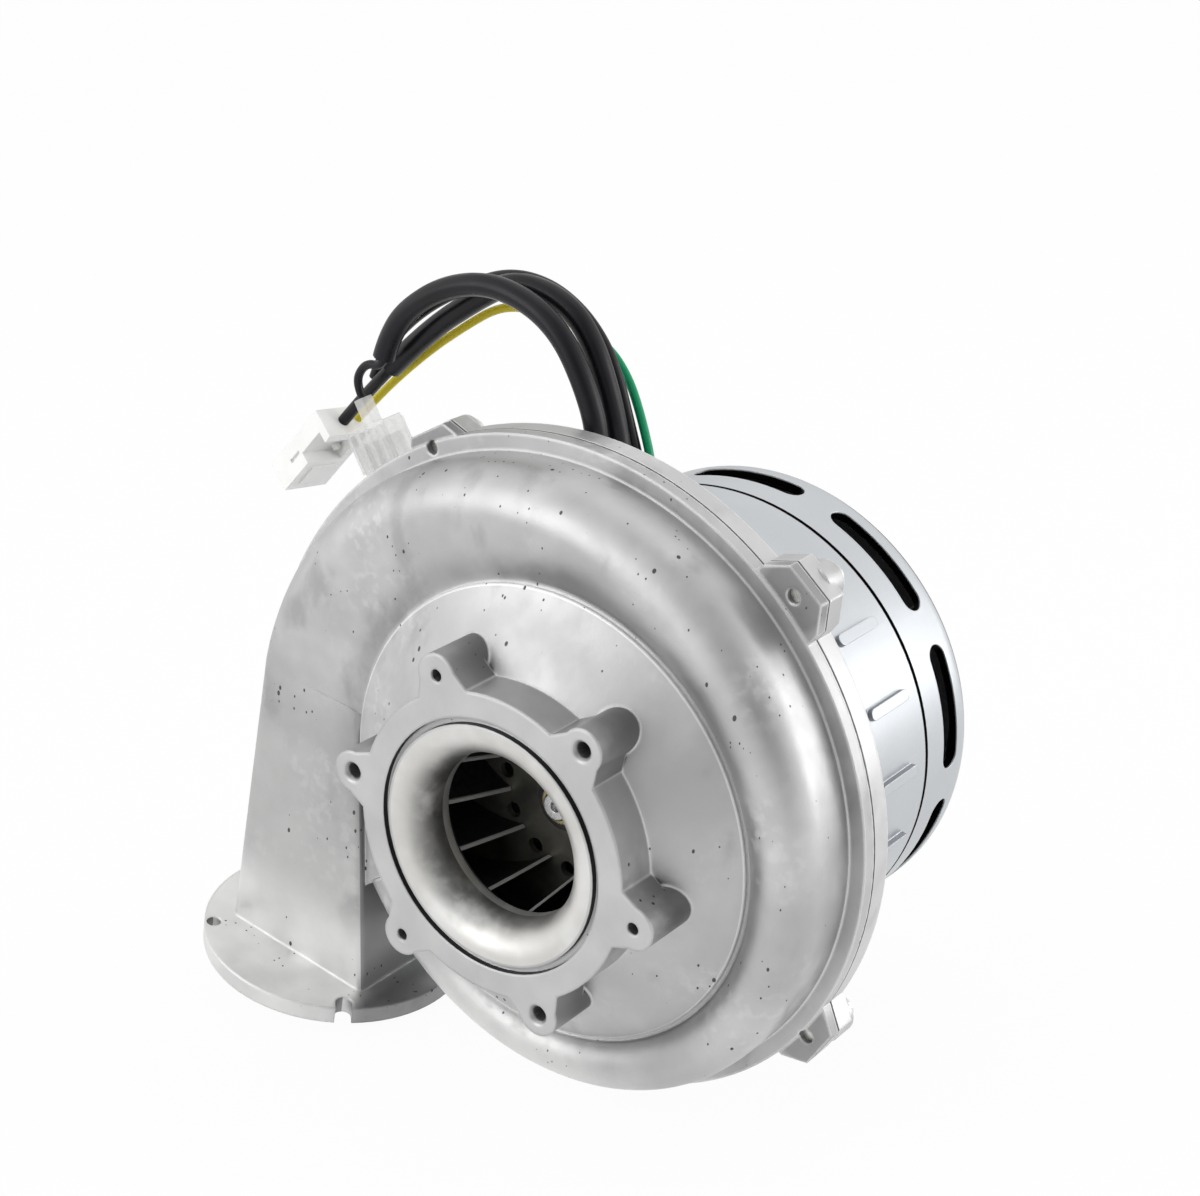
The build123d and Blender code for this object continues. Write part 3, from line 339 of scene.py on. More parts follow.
@dataclass(frozen=True)
class FrontFaces:
    """Where the front casting's faces lie: radii from the fan axis, x, y and z, and lug centres in millimetres."""

    throat_radius: float = 22.6 * MM
    throat_y: float = 9.6 * MM
    bell_radius: float = 29.0 * MM
    bore_radius: float = 31.6 * MM
    bore_y: float = 12.3 * MM
    groove_radius: float = 33.2 * MM
    groove_reach: float = 1.1 * MM
    groove_floor: float = 0.82 * MM
    boss_inner: float = 41.4 * MM
    boss_outer: float = 60.5 * MM
    cone_slope: float = 0.4831
    cone_start: float = (12.0 - 41.0 * 0.4831 - 0.6) * MM
    brink_radius: float = 61.45 * MM
    lug_y: float = 37.3 * MM
    gap_x: float = -48.0 * MM
    flange_z: float = -85.0 * MM
    lugs: tuple[Point, ...] = ((-60.8, 0.0, 75.6), (49.6, 0.0, 79.6), (78.3, 0.0, -33.2))


@dataclass(frozen=True)
class FrontTones:
    """Colours that only the front casting has, painted shade and painted light among them."""

    # Painted shade on the boss flanks and lug faces.
    flank_and_lug_shade: Colour = (0.19, 0.19, 0.195)
    # Painted shade on the duct's face and in the gap beside it.
    duct: Colour = (0.30, 0.305, 0.292)
    gap: Colour = (0.15, 0.15, 0.155)
    # Painted shade in the scroll's valley.
    valley_shade: Colour = (0.17, 0.17, 0.17)
    # Painted light on the scroll's lower part.
    foot: Colour = (0.80, 0.80, 0.79)
    face_dark: Colour = (0.50, 0.50, 0.50)
    face_light: Colour = (0.57, 0.57, 0.568)
    bore_dark: Colour = (0.60, 0.592, 0.57)
    bore_light: Colour = (0.72, 0.715, 0.70)
    # Smudge and painted shade in the bell mouth.
    bell_smudge_and_shade: Colour = (0.10, 0.098, 0.095)
    throat: Colour = (0.72, 0.72, 0.71)
    # Painted shade in the O-ring groove.
    groove_shade: Colour = (0.05, 0.05, 0.05)


@dataclass(frozen=True)
class CastFinish:
    """Die-cast aluminium: cloudy grey, dark pits, chalky patches and stains, with edges lightened partly by wear and
    mostly by a painted highlight.
    """

    name: str
    light: Colour = (0.585, 0.585, 0.583)
    dark: Colour = (0.44, 0.44, 0.442)
    pit: Colour = (0.09, 0.09, 0.09)
    chalk: Colour = (0.88, 0.88, 0.875)
    bright: Colour = (0.97, 0.97, 0.97)
    roughness: float = 0.45
    edge: float = 0.8 * MM
    fold_edge: float = 5.5 * MM
    pits: float = 0.115
    chalky: float = 0.24
    machined: bool = False
    faces: FrontFaces = FrontFaces()
    tones: FrontTones = FrontTones()

    def material(self) -> bpy.types.Material:
        """Draws up the cast metal, with turned ring and bell mouth where it is machined."""
        shader = Shader(self.name)
        cloud = shader.noise(Noise.CLOUD.value, 5.0)
        blotch = shader.noise(Noise.BLOTCH.value, 5.0)
        grain = shader.noise(Noise.GRAIN.value, 2.0)
        patch = shader.noise(Noise.PATCH.value, 3.0)
        tone = shader.step(shader.maths("MULTIPLY_ADD", blotch, 0.35, cloud), 0.45, 0.95)
        colour = shader.blend(tone, self.dark, self.light)
        stain = shader.step(shader.noise(70.0, 6.0, shader.stretched((1.0, 1.0, 0.6), (0.0, 0.5, 0.0))), 0.57, 0.74)
        colour = shader.blend(shader.times(stain, 0.45), colour, tuple(0.6 * v for v in self.dark))
        powder = shader.times(shader.step(shader.noise(330.0, 6.0), 0.47, 0.68),
                              shader.step(shader.noise(33.0, 2.0), 0.46, 0.66))
        colour = shader.blend(shader.times(powder, self.chalky), colour, self.chalk)
        crowd = shader.step(shader.noise(38.0, 2.0), 0.38, 0.60)
        slanted = shader.stretched((1.0, 1.0, 0.62), (0.2, 0.7, 0.0))
        holes = shader.maths("MAXIMUM",
                             shader.specks(230.0, shader.times(crowd, self.pits), 0.48, slanted),
                             shader.specks(480.0, shader.times(crowd, self.pits * 1.2), 0.36, slanted))
        fold = self.fold(shader) if self.machined else 0.0
        normal, rim = shader.rounded(shader.maths("MULTIPLY_ADD", fold, self.fold_edge, self.edge))
        # Edges and fillets, concave ones too, are lightened: partly edge wear, mostly a painted highlight.
        edge_wear_and_highlight = shader.times(shader.step(rim, 0.02, 0.20), shader.maths("SUBTRACT", 1.0, fold))
        colour = shader.blend(shader.times(edge_wear_and_highlight, 0.9), colour, self.bright)
        rough = shader.step(blotch, 0.3, 0.75, self.roughness - 0.06, self.roughness + 0.08)
        rough = shader.maths("MULTIPLY_ADD", powder, 0.12, rough)
        height = shader.maths("MULTIPLY_ADD", grain, 0.30, shader.maths("MULTIPLY_ADD", patch, 0.7, blotch))
        if self.machined:
            colour = self.shaded(shader, colour, edge_wear_and_highlight)
            colour, rough, holes = self.turned(shader, colour, rough, holes)
            colour = self.painted_gap_shade(shader, colour)
        colour = shader.blend(holes, colour, self.pit)
        height = shader.maths("SUBTRACT", height, shader.times(holes, 2.5))
        bumped = shader.relief(height, 0.42, 0.14 * MM, normal)
        return shader.finish(Base_Color=colour, Metallic=0.86, Roughness=rough, Normal=bumped)

    def fold(self, shader: Shader) -> bpy.types.NodeSocket:
        """Where the scroll runs into the duct in a soft fold that has no lightened edge.

        Args:
            shader: The tree.

        Returns:
            One on the fold, and zero elsewhere.
        """
        x, _, z = shader.axes()
        return shader.times(shader.step(shader.off(z, 0.0), 10.0 * MM, 4.0 * MM),
                            shader.step(x, -61.0 * MM, -65.0 * MM))

    def shaded(self, shader: Shader, colour: bpy.types.NodeSocket,
               edge_wear_and_highlight: bpy.types.NodeSocket) -> bpy.types.NodeSocket:
        """Darkens the bosses' drawn flanks and the lugs' faces with painted shade.

        Args:
            shader: The tree.
            colour: The cast metal's colour.
            edge_wear_and_highlight: Where its edges are lightened by wear and a painted highlight.

        Returns:
            The colour with the painted shade in.
        """
        at = self.faces
        _, y, _ = shader.axes()
        radius = shader.radius()
        cone = shader.maths("MULTIPLY_ADD", radius, at.cone_slope, at.cone_start)
        # Painted shade on the boss flanks, stronger further back, and on the lug faces.
        flank = shader.times(shader.under(y, cone), shader.over(radius, at.boss_inner), shader.over(y, 0.3 * MM),
                             shader.under(radius, at.boss_outer))
        flank_and_lug_shade = shader.times(flank, shader.step(y, 1.0 * MM, 13.0 * MM, 0.35, 0.8))
        flat = shader.stretched((1.0, 0.0, 1.0))
        for centre in at.lugs:
            away = shader.node("ShaderNodeVectorMath", operation="DISTANCE")
            shader.feed(away.inputs[0], flat)
            shader.feed(away.inputs[1], Vector(centre) * MM)
            face = shader.times(shader.step(away.outputs["Value"], 11.0 * MM, 7.5 * MM), shader.over(y, at.lug_y))
            flank_and_lug_shade = shader.maths("MAXIMUM", flank_and_lug_shade, shader.times(face, 0.6))
        flank_and_lug_shade = shader.times(flank_and_lug_shade, shader.maths("SUBTRACT", 1.0, edge_wear_and_highlight))
        return shader.blend(flank_and_lug_shade, colour, self.tones.flank_and_lug_shade)

    def painted_gap_shade(self, shader: Shader, colour: bpy.types.NodeSocket) -> bpy.types.NodeSocket:
        """Darkens the duct's face a little with painted shade, and more the gap beside it and the flange's foot in
        that gap.

        Args:
            shader: The tree.
            colour: The cast metal's colour.

        Returns:
            The colour with the dark places in.
        """
        at = self.faces
        x, _, z = shader.axes()
        # Painted shade: the duct's face, the duct's side wall facing the ring, and the flange's foot in the gap.
        duct = shader.times(shader.step(x, -46 * MM, -52 * MM), shader.step(z, 8 * MM, -12 * MM, 0.0, 0.28),
                            shader.step(z, -82 * MM, -50 * MM, 0.1, 1.0))
        colour = shader.blend(duct, colour, self.tones.duct)
        normal = shader.node("ShaderNodeNewGeometry").outputs["Normal"]
        wall = shader.times(shader.over(shader.toward(normal, (1.0, 0.0, 0.0)), 0.75), shader.under(x, at.gap_x),
                            shader.step(z, -2 * MM, -14 * MM, 0.0, 0.75))
        foot = shader.times(shader.under(z, at.flange_z), shader.step(x, -54 * MM, -45 * MM, 0.0, 0.8))
        return shader.blend(shader.maths("MAXIMUM", wall, foot), colour, self.tones.gap)

    def turned(self, shader: Shader, colour: bpy.types.NodeSocket, rough: bpy.types.NodeSocket,
               holes: bpy.types.NodeSocket) -> tuple[bpy.types.NodeSocket, ...]:
        """Paints shade in the scroll's valley, a highlight on its brink and light on its lower part, and marks the
        turned ring and bell mouth with painted shade in the bell and groove.

        Args:
            shader: The tree.
            colour: The cast metal's colour.
            rough: Its roughness.
            holes: Its pits.

        Returns:
            The colour, the roughness and the pits with the turned faces in.
        """
        at, tones = self.faces, self.tones
        x, y, z = shader.axes()
        radius = shader.radius()
        # Painted shade in the valley just outside the cone's edge, in blotches.
        valley = shader.times(shader.step(radius, 61.9 * MM, 63.4 * MM), shader.step(radius, 73.0 * MM, 64.0 * MM))
        valley_shade = shader.times(valley, shader.step(shader.noise(45.0, 5.0), 0.25, 0.70, 0.15, 0.5),
                             shader.step(y, 14 * MM, 19 * MM))
        colour = shader.blend(valley_shade, colour, tones.valley_shade)
        # Painted highlight: a thin bright line along the cone's edge, for the light on its step.
        brink_highlight = shader.times(shader.step(shader.off(radius, at.brink_radius), 0.42 * MM, 0.16 * MM),
                             shader.step(y, 18 * MM, 20 * MM, 0.0, 0.55))
        colour = shader.blend(brink_highlight, colour, self.bright)
        # Painted light: the scroll's lower part is painted paler, fading in by height.
        pale = shader.times(shader.step(z, -56.0 * MM, -74.0 * MM),
                            shader.step(shader.noise(50.0, 4.0), 0.2, 0.7, 0.45, 0.9))
        colour = shader.blend(pale, colour, tones.foot)
        front = shader.under(y, 0.3 * MM)
        cloud = shader.noise(60.0, 4.0)
        face = shader.blend(shader.step(cloud, 0.3, 0.7), tones.face_dark, tones.face_light)
        colour = shader.blend(shader.times(front, 0.9), colour, face)
        rough = shader.maths("MULTIPLY_ADD", front, -0.06, rough)
        bore = shader.times(shader.under(radius, at.bore_radius), shader.under(y, at.bore_y))
        colour = shader.blend(bore, colour,
                              shader.blend(shader.step(cloud, 0.35, 0.7), tones.bore_dark, tones.bore_light))
        # A smudge together with painted shade on the bell's left, deepest near the throat.
        side = shader.step(shader.maths("MULTIPLY_ADD", z, 0.55, x), 14 * MM, -20 * MM)
        deep = shader.step(radius, at.bell_radius, at.throat_radius)
        smear = shader.step(shader.noise(120.0, 5.0), 0.30, 0.62)
        bell_smudge_and_shade = shader.times(deep, shader.maths("MULTIPLY_ADD", smear, 0.7, 0.3), bore,
                            shader.maths("MULTIPLY_ADD", side, 0.8, 0.2), 0.85)
        colour = shader.blend(bell_smudge_and_shade, colour, tones.bell_smudge_and_shade)
        throat = shader.times(shader.under(radius, at.throat_radius), shader.over(y, at.throat_y))
        colour = shader.blend(throat, colour, tones.throat)
        # Painted shade on the O-ring groove's walls.
        away = shader.off(radius, at.groove_radius)
        groove_shade = shader.times(shader.over(away, at.groove_floor), shader.over(y, 0.15 * MM),
                              shader.under(away, at.groove_reach))
        colour = shader.blend(groove_shade, colour, tones.groove_shade)
        clean = shader.maths("MAXIMUM", front, bore)
        return colour, rough, shader.times(holes, shader.maths("SUBTRACT", 1.0, clean))


@dataclass(frozen=True)
class SatinFinish:
    """Spun or drawn metal with a fine even grain."""

    name: str
    light: Colour
    dark: Colour
    roughness: float = 0.34
    edge: float = 0.5 * MM
    metallic: float = 0.9
    bright: Colour = (0.88, 0.89, 0.9)
    flank: Colour = (0.22, 0.23, 0.25)
    hollow: Colour = (0.006, 0.006, 0.006)
    dark_inside: bool = False
    skin_radius: float = 64.8 * MM
    end_y: float = 128.4 * MM
    seam_y: float = 104.75 * MM
    seam_reach: float = 0.72 * MM
    rib_radius: float = 65.45 * MM

    def material(self) -> bpy.types.Material:
        """Draws up the satin metal, and the painted shade inside a slotted drum."""
        shader = Shader(self.name)
        grain = shader.noise(2600.0, 2.0)
        cloud = shader.noise(30.0, 3.0)
        lines = shader.noise(1.0, 3.0, shader.stretched((40.0, 2400.0, 40.0)))
        tone = shader.maths("MULTIPLY_ADD", grain, 0.5, shader.times(cloud, 0.5))
        colour = shader.blend(shader.step(tone, 0.3, 0.7), self.dark, self.light)
        normal, rim = shader.rounded(self.edge)
        # Painted highlight along edges.
        colour = shader.blend(shader.times(shader.step(rim, 0.03, 0.3), 0.5), colour, self.bright)
        rough = shader.step(grain, 0.2, 0.8, self.roughness - 0.05, self.roughness + 0.07)
        height = shader.maths("MULTIPLY_ADD", lines, 0.4, grain)
        bumped = shader.relief(height, 0.12, 0.05 * MM, normal)
        if self.dark_inside:
            _, y, _ = shader.axes()
            # Painted shade: the drum's inside, slot walls and seam line go near black, and the ribs' steep flanks
            # darker.
            inside = shader.times(shader.under(shader.radius(), self.skin_radius), shader.under(y, self.end_y))
            seam = shader.under(shader.off(y, self.seam_y), self.seam_reach)
            colour = shader.blend(self.rib_flank_shade(shader, y), colour, self.flank)
            colour = shader.blend(shader.maths("MAXIMUM", inside, seam), colour, self.hollow)
        return shader.finish(Base_Color=colour, Metallic=self.metallic, Roughness=rough, Normal=bumped)

    def rib_flank_shade(self, shader: Shader, y: bpy.types.NodeSocket) -> bpy.types.NodeSocket:
        """Where the pressed ribs turn steeply out of the drum's skin, for painted shade.

        Args:
            shader: The tree.
            y: The object's Y coordinate.

        Returns:
            How much painted shade goes there.
        """
        normal = shader.node("ShaderNodeNewGeometry").outputs["Normal"]
        lean = shader.maths("DIVIDE", shader.toward(shader.stretched((1.0, 0.0, 1.0)), normal), shader.radius())
        return shader.times(shader.over(shader.radius(), self.rib_radius), shader.under(y, self.seam_y - 2.0 * MM),
                            shader.step(lean, 0.90, 0.55, 0.0, 0.8))


@dataclass(frozen=True)
class PlasticFinish:
    """Moulded plastic, rubber or enamel with a fine skin."""

    name: str
    light: Colour
    dark: Colour
    roughness: float = 0.4
    coat: float = 0.0
    skin: float = 900.0
    depth: float = 0.04 * MM
    cover: float = 1.0
    edge: float = 0.3 * MM
    gloss: float = 0.5

    def material(self) -> bpy.types.Material:
        """Draws up the plastic."""
        shader = Shader(self.name)
        skin = shader.noise(self.skin, 3.0)
        cloud = shader.noise(70.0, 3.0)
        colour = shader.blend(shader.step(cloud, 0.35, 0.7), self.dark, self.light)
        rough = shader.step(skin, 0.25, 0.75, self.roughness - 0.04, self.roughness + 0.06)
        normal, _ = shader.rounded(self.edge)
        bumped = shader.relief(skin, 0.25, self.depth, normal)
        return shader.finish(Base_Color=colour, Roughness=rough, Normal=bumped, Coat_Weight=self.coat,
                             Coat_Roughness=0.12, Alpha=self.cover, Specular_IOR_Level=self.gloss)


@dataclass(frozen=True)
class ImpellerFinish:
    """Dark impeller whose blades are pale along their leading edges."""

    name: str
    tone: Colour = (0.030, 0.030, 0.032)
    pale: Colour = (0.05, 0.05, 0.05)
    disc_lit_tone: Colour = (0.17, 0.165, 0.14)
    bare: Colour = (0.66, 0.66, 0.64)
    hub: float = 18.0 * MM
    root: float = 20.3 * MM
    tip: float = 24.9 * MM
    disc_y: float = 35.0 * MM
    eye_y: float = 14.3 * MM

    def material(self) -> bpy.types.Material:
        """Draws up the dark skin and the bright edges."""
        shader = Shader(self.name)
        _, y, _ = shader.axes()
        slope = (self.tip - self.root) / (self.eye_y - self.disc_y)
        line = shader.maths("MULTIPLY_ADD", shader.maths("SUBTRACT", y, self.disc_y), slope, self.root)
        past = shader.maths("SUBTRACT", shader.radius(), line)
        # The blades are painted pale along their leading edges, in a band set by radius and depth.
        bare = shader.times(shader.step(past, 0.42 * MM, 0.18 * MM), shader.under(y, self.disc_y - 0.2 * MM),
                            shader.over(shader.radius(), self.hub))
        skin = shader.noise(700.0, 3.0)
        colour = shader.blend(shader.step(skin, 0.3, 0.7), self.tone, self.pale)
        # Painted light: the back disc is painted lighter and warmer, in blotches.
        disc = shader.times(shader.step(y, self.disc_y - 0.4 * MM, self.disc_y - 0.1 * MM),
                            shader.step(shader.noise(90.0, 3.0), 0.3, 0.7, 0.35, 1.0))
        colour = shader.blend(disc, colour, self.disc_lit_tone)
        colour = shader.blend(bare, colour, self.bare)
        rough = shader.step(skin, 0.3, 0.7, 0.36, 0.5)
        bumped = shader.relief(skin, 0.2, 0.05 * MM)
        return shader.finish(Base_Color=colour, Metallic=0.6, Roughness=rough, Normal=bumped)


@dataclass(frozen=True)
class EarthFinish:
    """Green insulation with a long yellow stripe that turns slowly round the lead."""

    name: str
    green: Colour = (0.0, 0.23, 0.09)
    green_light: Colour = (0.0, 0.29, 0.13)
    yellow: Colour = (0.66, 0.54, 0.008)
    yellow_light: Colour = (0.70, 0.58, 0.03)
    green_way: Point = (-0.35, -0.55, -0.75)
    swap_x: float = -46.0 * MM
    roughness: float = 0.3

    def material(self) -> bpy.types.Material:
        """Draws up the two stripes."""
        shader = Shader(self.name)
        x, _, _ = shader.axes()
        side = shader.toward(shader.node("ShaderNodeNewGeometry").outputs["Normal"], self.green_way)
        turn = shader.step(x, self.swap_x + 12 * MM, self.swap_x - 14 * MM, -1.3, 0.30)
        stripe = shader.step(shader.maths("ADD", side, turn), -0.03, 0.03)
        skin = shader.noise(800.0, 2.0)
        colour = shader.blend(stripe, shader.blend(skin, self.green, self.green_light),
                              shader.blend(skin, self.yellow, self.yellow_light))
        bumped = shader.relief(skin, 0.15, 0.03 * MM)
        return shader.finish(Base_Color=colour, Roughness=self.roughness, Normal=bumped, Specular_IOR_Level=0.3)


def smooth(node: bpy.types.Object, angle: float = 32.0) -> None:
    """Shades a CAD node's round faces smooth and keeps its edges.

    Args:
        node: The CAD node.
        angle: The sharpest turn in degrees that still looks round.
    """
    node.data.polygons.foreach_set("use_smooth", [True] * len(node.data.polygons))
    weld = node.modifiers.new("weld", "WELD")
    weld.merge_threshold = 0.002 * MM
    split = node.modifiers.new("split", "EDGE_SPLIT")
    split.split_angle = math.radians(angle)


def dress(material: bpy.types.Material, *nodes: str, angle: float = 32.0) -> None:
    """Gives CAD nodes a material and smooth shading.

    Args:
        material: The material.
        nodes: The nodes' names.
        angle: The smoothing angle in degrees.
    """
    for name in nodes:
        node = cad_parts[name]
        node.data.materials.clear()
        node.data.materials.append(material)
        smooth(node, angle)
        LOG.info("%s wears %s", name, material.name)


@dataclass
class Castings:
    """The volute's front and rear castings and their screws."""

    front: CastFinish = CastFinish("cast_front", edge=1.2 * MM, machined=True)
    rear: CastFinish = CastFinish("cast_rear", light=(0.66, 0.66, 0.66), dark=(0.52, 0.52, 0.52), roughness=0.46,
                                  pits=0.08, chalky=0.2)
    screw: SatinFinish = SatinFinish("zinc_plate", (0.74, 0.74, 0.70), (0.60, 0.60, 0.57), 0.3, 0.2 * MM)
    gasket: PlasticFinish = PlasticFinish("gasket_sheet", (0.10, 0.10, 0.10), (0.07, 0.07, 0.07), 0.7)

    def build(self) -> None:
        """Dresses the castings."""
        dress(self.front.material(), "front_housing", angle=30.0)
        dress(self.rear.material(), "rear_plate", "bearing_tube")
        dress(self.screw.material(), "housing_screws", "tube_screws", "board_screws", "motor_screws", "cap_screws")
        dress(self.gasket.material(), "housing_gasket")


@dataclass
class MotorDrum:
    """The ribbed drum, its slotted cap and its gland."""

    metal: SatinFinish = SatinFinish("drum_satin", (0.56, 0.58, 0.60), (0.50, 0.52, 0.54), 0.36, dark_inside=True)
    rubber: PlasticFinish = PlasticFinish("gland_rubber", (0.035, 0.035, 0.035), (0.02, 0.02, 0.02), 0.6)

    def build(self) -> None:
        """Dresses the drum and cap."""
        dress(self.metal.material(), "motor_drum", "motor_cap")
        dress(self.rubber.material(), "cable_gland", "shaft_seal")


@dataclass
class Internals:
    """What turns in the casing, and what is hidden in the drum."""

    impeller: ImpellerFinish = ImpellerFinish("impeller_dark")
    shroud: PlasticFinish = PlasticFinish("shroud_dark", (0.05, 0.05, 0.05), (0.03, 0.03, 0.03), 0.45)
    steel: SatinFinish = SatinFinish("ground_steel", (0.78, 0.78, 0.78), (0.66, 0.66, 0.66), 0.22)
    core: SatinFinish = SatinFinish("core_steel", (0.36, 0.36, 0.37), (0.26, 0.26, 0.27), 0.42)
    copper: PlasticFinish = PlasticFinish("enamel_copper", (0.55, 0.22, 0.08), (0.42, 0.15, 0.05), 0.3, 0.5)
    ferrite: PlasticFinish = PlasticFinish("ferrite", (0.09, 0.09, 0.10), (0.06, 0.06, 0.06), 0.6)
    brass: SatinFinish = SatinFinish("turned_brass", (0.72, 0.58, 0.30), (0.62, 0.48, 0.22), 0.28)
    nylon: PlasticFinish = PlasticFinish("natural_nylon", (0.80, 0.79, 0.74), (0.72, 0.71, 0.66), 0.4)
    black: PlasticFinish = PlasticFinish("black_nylon", (0.05, 0.05, 0.05), (0.03, 0.03, 0.03), 0.4)
    board: PlasticFinish = PlasticFinish("board_green", (0.03, 0.22, 0.10), (0.02, 0.17, 0.08), 0.35, 0.4)

    def build(self) -> None:
        """Dresses the turning and hidden pieces."""
        dress(self.impeller.material(), "impeller")
        dress(self.shroud.material(), "impeller_shroud")
        dress(self.brass.material(), "impeller_bush")
        dress(self.steel.material(), "shaft", "front_bearing_inner", "front_bearing_outer", "front_bearing_shields",
              "rear_bearing_inner", "rear_bearing_outer", "rear_bearing_shields", "preload_spring")
        dress(self.core.material(), "stator_core", "rotor_bell")
        dress(self.copper.material(), "stator_coils")
        dress(self.ferrite.material(), "rotor_magnets")
        dress(self.nylon.material(), "stator_insulators")
        dress(self.black.material(), "cooling_fan", "board_transistors", "board_capacitors")
        dress(self.board.material(), "control_board")


@dataclass
class Cord:
    """One lead or sleeve of the harness."""

    node: str
    route: list[Point]
    radius: float
    material: bpy.types.Material
    body: Body = Body.CASING

    def build(self) -> bpy.types.Object:
        """Draws the lead as one smooth line with a round section.

        Returns:
            The lead's curve.
        """
        line = bpy.data.curves.new(self.node + "_line", "CURVE")
        line.dimensions = "3D"
        spline = line.splines.new("NURBS")
        spline.points.add(len(self.route) - 1)
        for point, place in zip(spline.points, self.route):
            point.co = (place[0] * MM, place[1] * MM, place[2] * MM, 1.0)
        spline.order_u = 3
        spline.use_endpoint_u = True
        spline.resolution_u = 12
        line.bevel_depth = self.radius * MM
        line.bevel_resolution = 5
        line.use_fill_caps = True
        line.materials.append(self.material)
        piece = bpy.data.objects.new("lead_" + self.node, line)
        bpy.context.scene.collection.objects.link(piece)
        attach(piece, self.body.value)
        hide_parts(self.node)
        LOG.info("%s drawn", piece.name)
        return piece


class Moulding:
    """A small moulded piece, joined and cut from blocks in its own across, deep and along directions."""

    def __init__(self, name: str, start: Point, across: Point, along: Point) -> None:
        """Sets up the piece's frame.

        Args:
            name: The piece's name.
            start: The middle of its entry end, in millimetres.
            across: Roughly the way its width runs.
            along: The way its length runs.
        """
        length = Vector(along).normalized()
        width = Vector(across)
        width = (width - length * width.dot(length)).normalized()
        columns = Matrix((width, length.cross(width), length)).transposed().to_4x4()
        self.frame = Matrix.Translation(Vector(start) * MM) @ columns
        self.piece = self.block(name, (-1.0, -1.0, 0.0), (1.0, 1.0, 1.0))
        self.tools: list[bpy.types.Object] = []

    def block(self, name: str, low: Point, high: Point) -> bpy.types.Object:
        """Makes a block between two corners.

        Args:
            name: Its name.
            low: The lowest corner, in millimetres.
            high: The highest corner, in millimetres.

        Returns:
            The block, in the scene.
        """
        mesh = bpy.data.meshes.new(name)
        form = bmesh.new()
        bmesh.ops.create_cube(form, size=1.0)
        sides = [(b - a) * MM for a, b in zip(low, high)]
        middle = Vector([(a + b) / 2 * MM for a, b in zip(low, high)])
        bmesh.ops.transform(form, matrix=self.frame @ Matrix.Translation(middle) @ Matrix.Diagonal((*sides, 1.0)),
                            verts=form.verts)
        form.to_mesh(mesh)
        form.free()
        made = bpy.data.objects.new(name, mesh)
        bpy.context.scene.collection.objects.link(made)
        return made

    def shape(self, operation: Operation, *blocks: tuple[Point, Point]) -> None:
        """Joins or cuts blocks.

        Args:
            operation: Whether they are joined or cut.
            blocks: The lowest and highest corner of each.
        """
        for low, high in blocks:
            tool = self.block(f"{self.piece.name}_{len(self.tools)}", low, high)
            self.tools.append(tool)
            change = self.piece.modifiers.new(tool.name, "BOOLEAN")
            change.operation = operation.value
            change.solver = "EXACT"
            change.object = tool

    def finish(self, edge: float, material: bpy.types.Material) -> bpy.types.Object:
        """Fixes the shape, rounds its edges and dresses it.

        Args:
            edge: The radius of its edges, in millimetres.
            material: Its material.

        Returns:
            The finished piece.
        """
        solid = self.piece.evaluated_get(bpy.context.evaluated_depsgraph_get())
        mesh = bpy.data.meshes.new_from_object(solid)
        mesh.name = self.piece.name
        self.piece.modifiers.clear()
        self.piece.data = mesh
        for tool in self.tools:
            bpy.data.objects.remove(tool)
        soft = self.piece.modifiers.new("edges", "BEVEL")
        soft.width = edge * MM
        soft.segments = 2
        soft.limit_method = "ANGLE"
        soft.angle_limit = math.radians(40.0)
        mesh.materials.clear()
        mesh.materials.append(material)
        LOG.info("%s moulded", self.piece.name)
        return self.piece


@dataclass
class WhitePlug:
    """The two-way crimp housing on the right sleeve's lead and the earth lead."""

    start: Point = (-112.3, 62.3, 57.4)
    across: Point = (0.2, 0.97, 0.0)
    along: Point = (-0.545, 0.0, -0.8384)
    half: tuple[float, float] = (7.5, 4.5)
    length: float = 26.7
    finish: PlasticFinish = PlasticFinish("plug_nylon", (0.92, 0.92, 0.905), (0.87, 0.87, 0.855), 0.35, 0.25,
                                          500.0, 0.02 * MM)

    def build(self) -> bpy.types.Object:
        """Moulds the housing with its window, its latch, its side slot and its mating mouth.

        Returns:
            The plug.
        """
        wide, deep = self.half
        plug = Moulding("plug_white", self.start, self.across, self.along)
        plug.shape(Operation.JOIN, ((-wide, -deep, 0.0), (wide, deep, self.length)),
                   ((-4.5, deep - 0.2, 15.5), (4.5, deep + 0.45, 23.5)))
        plug.shape(Operation.CUT, ((-wide - 1, 1.0, 3.0), (4.6, deep + 1, 13.0)),
                   ((-wide - 1, -0.55, 14.0), (-wide + 0.9, 0.55, 18.8)),
                   ((-3.6, deep - 1.0, 17.0), (3.6, deep - 0.2, 27.5)),
                   ((-wide + 1.2, -deep + 1.2, 19.0), (wide - 1.2, deep - 1.6, self.length + 1)))
        plug.shape(Operation.JOIN, ((-3.2, 0.8, 4.2), (-1.4, 2.6, 6.0)), ((2.0, 0.8, 9.6), (3.8, 2.6, 11.4)))
        piece = plug.finish(0.3, self.finish.material())
        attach(piece, Body.CASING.value)
        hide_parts("white_plug")
        return piece


